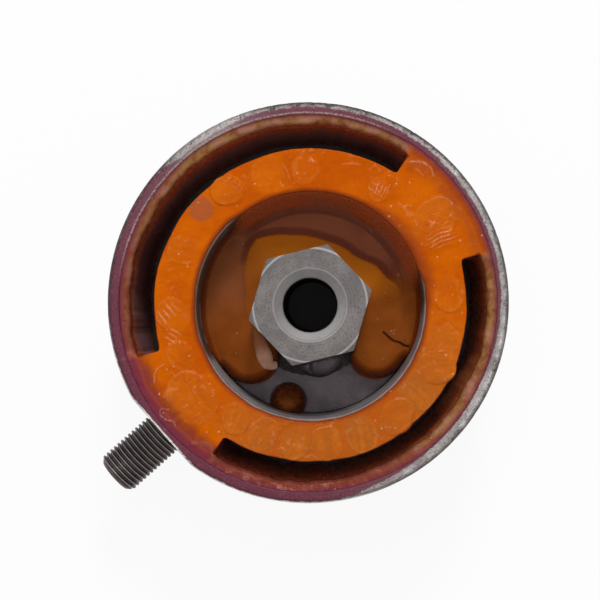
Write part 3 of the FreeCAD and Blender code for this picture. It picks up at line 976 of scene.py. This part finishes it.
def liner(patch):
    """The liner against the ring's bore, which the bridges join."""
    angles, into_bridge = bush_columns(VOID_OUTER)
    share = np.linspace(0, 1, 10)[:, None]
    bore = ring_reach(angles, RING_BORE)
    edge = ring_reach(angles, VOID_OUTER) + 0.3 * fractal(flat_points(45.0, angles), 4.0, 87, 3)
    radius = edge + (bore - edge) * share
    top = flat_points(radius, angles)
    to_void = np.hypot(radius - edge, np.clip(into_bridge, 0, None))
    height, scars = scar_fields(top[..., 0], top[..., 1])
    glossy = around(angles, 52, 50, 25)
    lumps = (0.12 + 0.06 * glossy) * fractal(top, 2.0, 81, 3)
    on_bridge = smooth(-1.0, 1.5, into_bridge)
    off_bridge = 1 - on_bridge
    z = TRIM_Z - smooth(0.5, -2.0, into_bridge) * (1.25 - 0.7 * share)
    z = z + lumps * 0.8 + height * on_bridge - edge_drop(to_void, 0.9)
    top[..., 2] = np.where(share > 0.999, np.minimum(z, RIM_Z - 0.15), z)
    primer = smooth(0.4, 1.05, share) * by_angle(angles, PRIMER_COVER) * 0.9
    bridged = on_bridge * smooth(0.5, 0.9, by_angle(angles, PRIMER_REACH))
    masks = {
        "cut": scars["cut"] * on_bridge,
        "red": smooth(-0.5, 0.5, share) * on_bridge * 0.8,
        "liner": off_bridge,
        # Glossy lumps on the lip near the bottom: painted highlight and more gloss.
        "wet": np.maximum(scars["wet"] * on_bridge, 0.5 * glossy * smooth(0.05, 0.25, lumps)),
        "liner_red": by_angle(angles, LINER_REDNESS) * off_bridge * (0.85 + 0.15 * share),
        "primer": np.maximum(primer, bridged * (0.55 + 0.45 * smooth(0.0, 0.6, share))),
    }
    patch.grid(top, wrap=True, **masks)
    foot = flat_points(np.stack([edge, bore]), angles, BUSH_FOOT)
    patch.grid(foot, wrap=True)
    patch.wall(top[-1], foot[-1], STRAIGHT, wrap=True)
    return Edge(angles, edge, top[0], foot[0])


def bridge(patch, middle, inner, outer):
    """One bridge between the two, its ends rounded in plan where they meet them."""
    share = np.linspace(0, 1, 26)[:, None]
    share = share - 0.05 * np.sin(2 * np.pi * share)
    radius = inner.radius + (outer.radius - inner.radius) * share
    corner = edge_drop(np.minimum(radius - inner.radius, outer.radius - radius), VOID_CORNER)
    reach = BRIDGE_DEG / 2 + np.degrees(corner / radius)
    turn = turn_apart(inner.degrees, middle)
    unit = turn / (BRIDGE_DEG / 2 + math.degrees(VOID_CORNER / VOID_INNER))
    degrees = middle + unit * reach
    degrees[0] = middle + turn
    degrees[-1] = middle + turn_apart(outer.degrees, middle)
    top = flat_points(radius, degrees)
    to_end = (1 - np.abs(unit)) * np.radians(reach) * radius
    z, masks = bush_top(top[..., 0], top[..., 1], to_end, np.full_like(radius, 9.0))
    weight = smooth(0.55, 1.0, share)
    top[..., 2] = z * (1 - weight) + outer.top[:, 2] * weight
    top[0], top[-1] = inner.top, outer.top
    painted = smooth(0.5, 0.9, by_angle(degrees, PRIMER_REACH))
    drift = share + 0.2 * fractal(top, 3.5, 83, 3)
    masks["red"] = (0.4 + 0.5 * painted) * smooth(0.2, 0.9, drift)
    masks["primer"] = (0.15 + 0.4 * painted) * smooth(0.6, 1.05, drift)
    patch.grid(top, **masks)
    foot = flat_points(VOID_INNER + (outer.radius - VOID_INNER) * share, degrees, BUSH_FOOT)
    foot[0], foot[-1] = inner.foot, outer.foot
    patch.grid(foot)
    return top, foot


def polyurethane_bush():
    """Liner, two bridges and the thick ring, in one casting, as a grid round the core."""
    patch = Patchwork()
    inner = thick_ring(patch)
    outer = liner(patch)
    depth = np.array([fall for fall, _ in VOID_WALL])[:, None] * (RIM_Z - BUSH_FOOT)
    deep_share = smooth(8, 26, depth)
    for number in range(2):
        start = number * (IN_BRIDGE + IN_VOID)
        across = np.arange(start, start + IN_BRIDGE + 1)
        along = np.arange(start + IN_BRIDGE, start + IN_BRIDGE + IN_VOID + 1) % len(inner.degrees)
        ends = [Edge(*(part[across] for part in edge)) for edge in (inner, outer)]
        top, foot = bridge(patch, BUSH_TURN + 180 * number, *ends)
        for column in (0, -1):
            # The void walls turn pale lower down: painted light.
            patch.wall(top[:, column], foot[:, column], VOID_WALL, red=0.3, deep=deep_share)
        patch.wall(inner.top[along], inner.foot[along], VOID_WALL, red=0.2, deep=deep_share)
        wall = liner_masks(outer.degrees[along], np.broadcast_to(depth, (len(depth), len(along))))
        patch.wall(outer.top[along], outer.foot[along], VOID_WALL, **wall)
    patch.build("polyurethane_bush_trimmed", "polyurethane", bush_material(), ["polyurethane_bush"], 60)


# ---- Core: tube, web, boss and weld ---------------------------------------------------
# Light dashes through the film on the tube, painted glints: (from angle, to angle, low, high).
FILM_GLINTS = [(276, 283, 19.5, 21.0), (289, 290.5, 17.5, 19.0), (318, 330, 14.0, 15.5),
                  (334, 338, 12.0, 14.5)]


def inner_tube():
    """The tube, with a brown film of release agent behind the tall wall; its top edge darkened as painted
    shade, a lighter band and light dashes on its bore painted as light.
    """
    low, high = TUBE_LOW[2], TUBE_TOP
    outline = wall_outline(TUBE_BORE, TUBE_RADIUS, low, high, (0.3, 0.3, 0.3, 0.35), 0.3, 0.9)
    radius, z, degrees = lathe(outline, 360)
    on_bore = flat_points(28.0, degrees, z)
    inside = smooth(TUBE_RADIUS - 0.2, TUBE_BORE + 0.5, radius) * (z > 0)
    film = inside * around(degrees, 240.0, 112, 100, 5 * value_noise(on_bore, 4.0, 93))
    # Dashes of bare steel through the film: painted glints.
    for start, end, foot, top in FILM_GLINTS:
        along = smooth(-0.6, 0.3, turn_apart(degrees, start)) * smooth(0.6, -0.3, turn_apart(degrees, end))
        film = film * (1 - 0.8 * along * smooth(foot - 0.5, foot, z) * smooth(top + 0.5, top, z))
    rim = inside * smooth(high - 0.9, high - 0.2, z)
    bands = smooth(-0.2, 0.5, value_noise(on_bore * [0.1, 0.1, 1.0], 2.6, 95))
    # A lighter band, with streaks, where the lamp falls into the bore: painted light.
    lit = 0.35 + 0.65 * around(degrees, -2.0, 34, 16)
    worn = 0.75 * inside * (1 - film) * lit * (0.1 + 0.9 * bands) * (1 - rim)
    # The film's colour along the top edge is painted shade under the casting's edge.
    film = np.maximum(film, 0.55 * rim)
    patch = Patchwork()
    patch.grid(closed(flat_points(radius, degrees, z)), wrap=True, film=closed(film), worn=closed(worn))
    material = steel_material("core_steel", (134, 126, 128), (166, 158, 159), 0.5, metal=0.3)
    patch.build("inner_tube_bare", "core_steel", material, ["inner_tube"], 50)


def web_plate():
    """The plate, its top a little uneven."""
    rounding = (0, 0.3, 0.3, 0)
    outline = wall_outline(WEB_HOLE, WEB_HIGH[0], WEB_LOW[2], WEB_TOP, rounding, 0.7)
    radius, z, degrees = lathe(outline, 240)
    uneven = 0.05 * np.abs(fractal(flat_points(radius, degrees, z), 4.0, 91, 3))
    points = flat_points(radius, degrees, z - np.where(z > 0, uneven, 0))
    material = steel_material("web_steel", (74, 66, 70), (92, 84, 88), 0.5, metal=0.6)
    patch = Patchwork().grid(closed(points), wrap=True)
    patch.build("web_plate_bare", "core_steel", material, ["web_plate"], 50)


def boss_rows(reach):
    """The boss from the spigot's foot over its top and down the bore, as (radius, height)."""
    rows = [(BORE_RADIUS, SPIGOT_FOOT), (SPIGOT_RADIUS - SPIGOT_CHAMFER, SPIGOT_FOOT),
            (SPIGOT_RADIUS, SPIGOT_FOOT + SPIGOT_CHAMFER), (SPIGOT_RADIUS, WEB_TOP), (reach, WEB_TOP)]

    def turned_end(radius):
        return HEX_TOP - np.clip(radius - HEX_FACE_RADIUS, 0, None) * HEX_CHAMFER

    chamfered = turned_end(reach)
    for level in np.linspace(WEB_TOP, HEX_TOP - 2.2, 12)[1:]:
        rows.append((reach, np.minimum(level, chamfered - 0.2)))
    for bend in np.radians(np.linspace(0, 90, 6)):
        rows.append((reach - HEX_EDGE * (1 - math.cos(bend)), chamfered - HEX_EDGE * (1 - math.sin(bend))))
    face_end = SINK_RADIUS + 0.1
    for part in np.linspace(0, 1, 26)[1:]:
        radius = reach - HEX_EDGE + (face_end - reach + HEX_EDGE) * part
        rows.append((radius, turned_end(radius)))
    for part in np.linspace(0, 1, 9)[1:]:
        radius = face_end + (BORE_RADIUS - face_end) * part
        sunk = (radius - SINK_RADIUS) * smooth(face_end, SINK_RADIUS - 0.4, radius)
        rows.append((radius, HEX_TOP + sunk))
    for level in np.linspace(HEX_TOP - (SINK_RADIUS - BORE_RADIUS), SPIGOT_FOOT, 14)[1:]:
        rows.append((BORE_RADIUS, level))
    return rows


def hex_boss():
    """Hexagon with a turned end, countersunk bore and round spigot below the web."""
    degrees = bearings(720)
    points = np.stack([flat_points(radius, degrees, z) for radius, z in boss_rows(hex_reach(degrees))])
    radius, z = np.hypot(points[..., 0], points[..., 1]), points[..., 2].copy()
    on_face = smooth(HEX_TOP - 2.6, HEX_TOP - 2.0, z) * smooth(BORE_RADIUS, BORE_RADIUS + 0.3, radius)
    dull = 0.5 + 0.5 * value_noise(points, 3.0, 103)
    turned = 0.02 * dull * np.sin(radius * 2 * math.pi / 0.9) + 0.03 * fractal(points, 1.0, 101, 2)
    z = z - on_face * np.abs(turned)
    points[..., 2] = z
    # The face's outer edge, the countersink's edge and the countersink, lighter on one side, are painted
    # light; the turned rings are the face's own marks.
    worn = smooth(0.35, 0.05, np.abs(radius - HEX_FACE_RADIUS)) * smooth(HEX_TOP - 0.6, HEX_TOP - 0.2, z)
    rings = smooth(0.3, 1.0, np.sin(radius * 2 * math.pi / 0.8))
    rings = rings * smooth(SINK_RADIUS, SINK_RADIUS + 0.3, radius)
    rings = 0.22 * rings * smooth(HEX_FACE_RADIUS, SINK_RADIUS + 1, radius) * dull
    sink_edge = 0.5 * smooth(0.4, 0.1, np.abs(radius - SINK_RADIUS))
    lit = 0.5 + 0.4 * smooth(-0.4, 0.9, np.cos(np.radians(degrees - 70)))
    sink = lit * smooth(SINK_RADIUS, SINK_RADIUS - 0.5, radius)
    for mask in (np.maximum(sink_edge, rings), sink):
        worn = np.maximum(worn, mask * on_face)
    sink_foot = HEX_TOP - (SINK_RADIUS - BORE_RADIUS)
    # Near black down the bore: painted shade.
    dark = smooth(BORE_RADIUS + 0.05, BORE_RADIUS + 0.01, radius)
    dark = dark * smooth(sink_foot - 1.0, sink_foot - 7.0, z)
    material = steel_material("boss_steel", (98, 92, 91), (118, 112, 110), 0.55, 0.12, metal=0.3)
    patch = Patchwork().grid(points, wrap=True, worn=worn * 0.8, dark=dark)
    patch.build("hex_boss_turned", "boss_steel", material, ["hex_boss"], 38)


def lump_reach(degrees):
    """Distance from the core's axis to the far side of the weld's lump, or 0 beside it."""
    middle = flat_points(LUMP_OUT, LUMP_DEG)
    angle = np.radians(degrees)
    along = middle[0] * np.cos(angle) + middle[1] * np.sin(angle)
    half_chord = LUMP_RADIUS ** 2 - (LUMP_OUT ** 2 - along ** 2)
    return np.where(half_chord > 0, along + np.sqrt(np.clip(half_chord, 0, None)), 0)


def boss_weld():
    """Fillet bead round the boss, with the lump where it closes."""
    degrees = bearings(480)
    inner = hex_reach(degrees) + 0.03
    wander = 0.8 * value_noise(flat_points(9.0, degrees), 3.0, 111)
    ripple = 0.12 * np.sin(np.radians(degrees) * 46 + wander)
    outer = np.maximum(WELD_RADIUS + ripple, lump_reach(degrees))
    shares = np.linspace(0, 1, 16)[:, None]
    radius = inner + (outer - inner) * shares
    spot = flat_points(radius, degrees)
    off_lump = far_from(spot, LUMP_DEG, LUMP_OUT)
    seam = flat_points(1.0, LUMP_SEAM_DEG)
    off_seam = np.abs(spot[..., 0] * seam[1] - spot[..., 1] * seam[0])
    mound = WEB_TOP + 2.15 * np.sqrt(np.clip(1 - (off_lump / LUMP_RADIUS) ** 4, 0, 1))
    mound = mound - 0.5 * smooth(0.6, 0.0, off_seam) * smooth(18.6, 16.4, radius)
    bead = WEB_TOP + 2.9 * (1 - shares) ** 1.15 + ripple * 0.6 * (1 - shares)
    z = np.maximum(bead, np.where(off_lump < LUMP_RADIUS, mound, WEB_TOP))
    spot[..., 2] = np.minimum(z, WEB_TOP + 2.98)
    spot[-1, :, 2] = WEB_TOP + GAP
    foot = flat_points(np.stack([inner, outer]), degrees, WEB_TOP + GAP / 2)
    patch = Patchwork()
    patch.grid(spot, wrap=True)
    patch.grid(foot, wrap=True)
    patch.strip(spot[0], foot[0], wrap=True)
    patch.strip(spot[-1], foot[1], wrap=True)
    material = steel_material("weld_steel", (78, 70, 72), (98, 90, 92), 0.45, 0.08, metal=0.6)
    patch.build("boss_weld_bead", "core_steel", material, ["boss_weld"], 50)


# ---- Polyurethane left in the core ------------------------------------------------------
# The edge of the casting left standing round the boss: (angle, radius).
COLLAR_EDGE = [(106, 24.0), (140, 23.6), (152, 22.8), (158, 21.2), (170, 20.1), (180, 18.0),
               (188, 17.1), (214, 17.3), (226, 18.0), (243, 19.0), (258, 20.9), (268, 22.6),
               (276, 21.8), (285, 20.4), (298, 18.6), (310, 17.2), (334, 16.2), (356, 15.6)]
# A hair caught in the surface: (angle, radius) along it.
HAIR = [(118.2, 20.0), (116.4, 21.6), (115.3, 23.2), (115.7, 25.0), (115.2, 26.2), (115.7, 27.4)]
# Small bubbles and grains on the casting, raised a little and painted pale as glints: (angle, radius,
# size).
SPECKS = [
    (339, 20.6, 0.3), (342, 16.6, 0.3), (102, 23.2, 0.3), (120.7, 21.8, 0.4), (121.9, 22.5, 0.3),
    (119.6, 22.6, 0.3), (158, 24.0, 0.4), (227.5, 27.4, 0.35), (302, 22.0, 0.25), (95, 19.0, 0.25),
    (165, 22.8, 0.3), (190, 24.8, 0.25), (246, 25.4, 0.25), (262, 17.6, 0.3), (276, 24.0, 0.25),
    (127, 17.6, 0.25), (148, 19.4, 0.3), (351, 23.0, 0.25),
]


def pad_surface(radius, degrees, to_end):
    """Height and masks of the C-shaped casting at these places."""
    spot = flat_points(radius, degrees)
    wander = value_noise(flat_points(14.0, degrees), 4.0, 121)
    strayed = degrees + 4 * wander
    collar_edge = by_angle(degrees, COLLAR_EDGE) + 0.3 * wander
    low = smooth(150, 164, strayed) * smooth(290, 266, strayed)
    step_in = smooth(collar_edge - 0.8, collar_edge + 2.2, radius)
    stained = smooth(collar_edge - 0.3, collar_edge + 0.3, radius)
    ridge = smooth(262, 275, degrees) * smooth(352, 338, degrees)
    level = PAD_TOP + 0.2 * fractal(spot, 6.0, 131, 2) - 1.7 * low * step_in - 0.35 * ridge * step_in
    level = level + 0.08 * np.exp(-((radius - collar_edge + 0.2) / 0.5) ** 2) * np.maximum(low, ridge)
    climb = smooth(WALL_ENDS[0] - 3, WALL_ENDS[0] + 7, strayed)
    climb = climb * smooth(WALL_ENDS[1] + 6, WALL_ENDS[1] - 8, strayed)
    up = np.clip((radius - PAD_WALL_FOOT) / (TUBE_BORE - 0.1 - PAD_WALL_FOOT), 0, 1)
    rise = climb * (TUBE_TOP - 0.1 - level) * (0.35 * up ** 1.2 + 0.65 * up ** 4)
    wetted = 1.3 * smooth(TUBE_BORE - 1.5, TUBE_BORE, radius) ** 2
    level = level + rise + (1 - climb) * wetted
    level = level - (level - WEB_TOP) * edge_drop(to_end, PAD_ROUNDING) / PAD_ROUNDING
    bands = 0.5 + 0.5 * value_noise(np.stack([radius / 0.7, degrees / 14, 0 * radius], -1), 1.0, 137)
    upper_left = smooth(140, 160, degrees) * smooth(300, 260, degrees)
    far_left = smooth(262, 280, degrees) * smooth(335, 300, degrees)
    at_foot = low * step_in * smooth(0.0, 0.25, up) * smooth(0.6, 0.3, up)
    at_tube = (1 - climb) * smooth(1.2, 0.2, TUBE_BORE - radius)
    layers = smooth(0.3, 0.7, bands) * smooth(0.1, 0.3, up) * smooth(0.95, 0.6, up)
    return level, {
        "collar": (1 - stained) * (0.08 + 0.7 * upper_left),
        "strata": 0.45 * climb * layers,
        # The pinkish floor, and the pink at the wall's foot and on the upper left, are painted sheen.
        "floor": low * stained * (1 - climb * smooth(0.1, 0.5, up)),
        "pink": np.clip(0.6 * at_foot + 0.7 * far_left * stained, 0, 1),
        "wall": climb * smooth(0.3, 0.6, up),
        "steep": climb * smooth(0.1, 0.4, up),
        # Dark red on the rounded ends and in the corner against the tube: painted shade.
        "red": np.maximum(0.85 * smooth(2.2, 0.3, to_end), 0.7 * at_tube),
    }


def end_distance(spot, radius, degrees):
    """How far these places of the pad lie in from its rounded free ends."""
    inside = np.full(radius.shape, 99.0)
    for angle, side in zip(PAD_ENDS, (-1, 1)):
        past = side * turn_apart(degrees, angle)
        in_end = np.clip(PAD_HALF - far_from(spot, angle, PAD_BAND), 0, None)
        inside = np.where((past > 0) & (past < 60), in_end, inside)
        to_wall = TUBE_BORE - radius + 9 * smooth(0, 30, -past)
        inside = np.where((past <= 0) & (past > -60), np.minimum(inside, to_wall), inside)
    inside[:, [0, -1]] = 0
    return inside


def cup_pad():
    """C-shaped casting round the boss: rounded free ends, low floor, wall up the tube."""
    share = np.linspace(0, 1, 84)[:, None]
    nominal = PAD_BAND - PAD_HALF + 2 * PAD_HALF * share
    cosine = (nominal ** 2 + PAD_BAND ** 2 - PAD_HALF ** 2) / (2 * nominal * PAD_BAND)
    beyond = np.degrees(np.arccos(np.clip(cosine, -1, 1)))
    unit = np.linspace(0, 1, 760)
    unit = unit - 0.035 * np.sin(2 * np.pi * unit)
    start, end = PAD_ENDS[0] - beyond, PAD_ENDS[1] + beyond
    degrees = start + (end - start) * unit
    inner = hex_reach(degrees) + GAP
    radius = inner + (TUBE_BORE - GAP - inner) * share
    top = flat_points(radius, degrees)
    z, masks = pad_surface(radius, degrees, end_distance(top, radius, degrees))
    hair = smooth(0.34, 0.12, track_distance(top[..., 0], top[..., 1], curve(HAIR)))
    dot = np.zeros_like(radius)
    for angle, away, size in SPECKS:
        dot = np.maximum(dot, smooth(size, size * 0.4, far_from(top, angle, away)))
    top[..., 2] = np.maximum(z - 0.45 * hair + 0.12 * dot, WEB_TOP + GAP)
    patch = Patchwork()
    patch.grid(top, hair=hair, glint=0.7 * dot, **masks)
    foot = flat_points(radius, degrees, WEB_TOP + GAP / 2)
    patch.strip(foot[0], foot[-1])
    for row in (0, -1):
        patch.strip(top[row], foot[row])
    for column in (0, -1):
        patch.strip(top[:, column], foot[:, column])
    patch.build("cup_pad_cast", "polyurethane_skin", skin_material(), ["cup_pad"], 70)


# Torn flash on the pad's inner edge: (angle, radius, height, thickness) along its length.
FLASH = [(330, 15.0, 9.0, 0.4), (338, 15.2, 9.6, 0.9), (348, 15.8, 10.0, 1.4), (356, 16.4, 10.2, 1.8),
         (363, 17.2, 10.2, 2.0), (368, 18.0, 10.0, 2.0), (371, 18.7, 9.5, 1.7), (375, 18.5, 8.9, 1.3),
         (379, 17.6, 8.4, 0.8)]


def flash():
    """A torn strip of flash that lies along the boss and curls at its end."""
    steps = np.linspace(0, len(FLASH) - 1, 60)
    where = np.arange(len(FLASH))
    track = np.array([(*flat_points(radius, degrees, z), thick) for degrees, radius, z, thick in FLASH])
    *line, size = (np.interp(steps, where, column) for column in track.T)
    line = np.stack(line, -1)
    along = np.gradient(line, axis=0)
    along /= np.linalg.norm(along, axis=1, keepdims=True)
    side = np.cross(along, [0, 0, 1])
    side /= np.linalg.norm(side, axis=1, keepdims=True)
    lift = np.cross(side, along)
    turn = np.arange(20) * 18
    lumps = value_noise(line[:, None] + flat_points(1.0, turn), 1.4, 161)
    thick = size[:, None] * (1 + 0.15 * lumps)
    thick[0] = thick[-1] = 0
    ring = flat_points(thick, turn)
    points = line[:, None] + side[:, None] * ring[..., :1] + lift[:, None] * 0.5 * ring[..., 1:2]
    amber = np.interp(steps, [0, 3.0, 4.5], [1.0, 0.8, 0.0])[:, None]
    patch = Patchwork().grid(points, wrap=True, amber=amber)
    patch.build("cup_pad_flash", "polyurethane_skin", flash_material(), [], 70)


def wall_nub():
    """Round blob on the web, leaning on the tube."""
    bearing = bearings(120)
    share = np.linspace(0, 1, 26)[:, None]
    spot = flat_points(NUB_RADIUS * share, bearing) + flat_points(TUBE_BORE - 2.7, NUB_DEG)
    outward = np.hypot(spot[..., 0], spot[..., 1])
    over = np.clip(outward - (TUBE_BORE - 0.03), 0, None)
    spot[..., :2] -= spot[..., :2] / outward[..., None] * over[..., None]
    dome = NUB_HEIGHT * (0.72 + 0.28 * smooth(18, 28, outward)) * np.sqrt(np.clip(1 - share ** 4, 0, 1))
    spot[..., 2] = WEB_TOP + GAP + dome + 0.1 * value_noise(spot, 2.0, 151) * (1 - share)
    spot[-1, :, 2] = WEB_TOP + GAP
    away = 1 - np.cos(np.radians(bearing - NUB_DEG))
    patch = Patchwork()
    patch.grid(spot, wrap=True, lit=0.8 * smooth(0.75, 0.2, share + 0.3 * away))
    patch.strip(spot[-1], np.broadcast_to(spot[-1].mean(0), spot[-1].shape), wrap=True)
    patch.build("wall_nub_blob", "polyurethane_skin", nub_material(), ["wall_nub"], 70)


# ---- Table, light and camera -------------------------------------------------------------
TABLE_HALF = 3.0                 # metres
PICTURE_RIGHT = 138.4            # the picture's right-hand side, as an angle in the part's frame
CAMERA_HEIGHT = 400.0            # above the rim
CAMERA_OFF = (5.3, -3.9)         # beside the ring's axis, along the picture's right and up
AIM_OFF = (-1.94, 0.60)
LENS, SENSOR = 96.6, 36.0        # millimetres


def table():
    """A white table; close under the part its colour is painted dark, a painted shadow."""
    mesh = bpy.data.meshes.new("table")
    corners = [(-1, -1), (1, -1), (1, 1), (-1, 1)]
    mesh.from_pydata([(x * TABLE_HALF, y * TABLE_HALF, FLOOR_Z * MM) for x, y in corners], [], [range(4)])
    shader = Shader("table_white", Roughness=0.9)
    away = shader.add("VectorMath", {0: shader.place((1, 1, 0))}, "Value", operation="LENGTH")
    under = (RING_RADIUS - 2) * MM
    clear = away.span(under, (RING_RADIUS + 3) * MM, 0.0, 0.9)
    shade = away.span(under, RING_RADIUS * MM).blend((0.13, 0.12, 0.12, 1), (0.9, 0.9, 0.9, 1))
    shader.set("Base Color", shade)
    lit = Value(shader, shader.surface.outputs[0])
    glow = shader.add("Emission", {"Color": (1, 1, 1, 1)})
    mixed = shader.add("MixShader", {0: shader.looked_at() * clear, 1: lit, 2: glow})
    shader.put(shader.tree.nodes["Material Output"].inputs["Surface"], mixed)
    mesh.materials.append(shader.material)
    add_object("table", mesh)


def picture_point(right, up, height):
    """A point beside the ring's axis, given along the picture's right and up."""
    across = flat_points(right, PICTURE_RIGHT) + flat_points(up, PICTURE_RIGHT + 90)
    return Vector((across + [0, RING_Y, RIM_Z + height]) * MM)


def camera():
    data = bpy.data.cameras.new("camera")
    data.sensor_width = SENSOR
    data.lens = LENS
    data.clip_start = 0.01
    eye = add_object("camera", data)
    place = picture_point(*CAMERA_OFF, CAMERA_HEIGHT)
    back = (place - picture_point(*AIM_OFF, 0)).normalized()
    right = Vector(flat_points(1.0, PICTURE_RIGHT + 90)).cross(back).normalized()
    axes = Matrix((right, back.cross(right), back)).transposed()
    eye.matrix_world = Matrix.Translation(place) @ axes.to_4x4()
    bpy.context.scene.camera = eye


def soft_light(name, right, up, height, size, watts):
    """A round lamp that faces the part; its place is in millimetres, its size in metres."""
    data = bpy.data.lights.new(name, "AREA")
    data.shape = "DISK"
    data.size = size
    data.energy = watts
    lamp = add_object(name, data)
    lamp.location = picture_point(right, up, height)
    lamp.rotation_euler = (-lamp.location).to_track_quat("-Z", "Y").to_euler()


def world():
    """White to the camera and in reflections; softer as light on the part."""
    sky = bpy.data.worlds.new("sky")
    bpy.context.scene.world = sky
    sky.use_nodes = True
    nodes = Nodes(sky.node_tree)
    background = sky.node_tree.nodes["Background"].inputs
    strength = nodes.add("MapRange", {"Value": nodes.looked_at(), "To Min": 0.5, "To Max": 1.0})
    nodes.put(background["Strength"], strength)
    nodes.put(background["Color"], (1, 1, 1, 1))


outer_ring()
mounting_stud()
polyurethane_bush()
inner_tube()
web_plate()
hex_boss()
boss_weld()
cup_pad()
wall_nub()
flash()
table()
camera()
soft_light("window", 100, 720, 780, 0.24, 5.2)
soft_light("overhead", -150, 100, 1200, 0.9, 2.6)
world()
bpy.context.scene.view_settings.view_transform = "Standard"
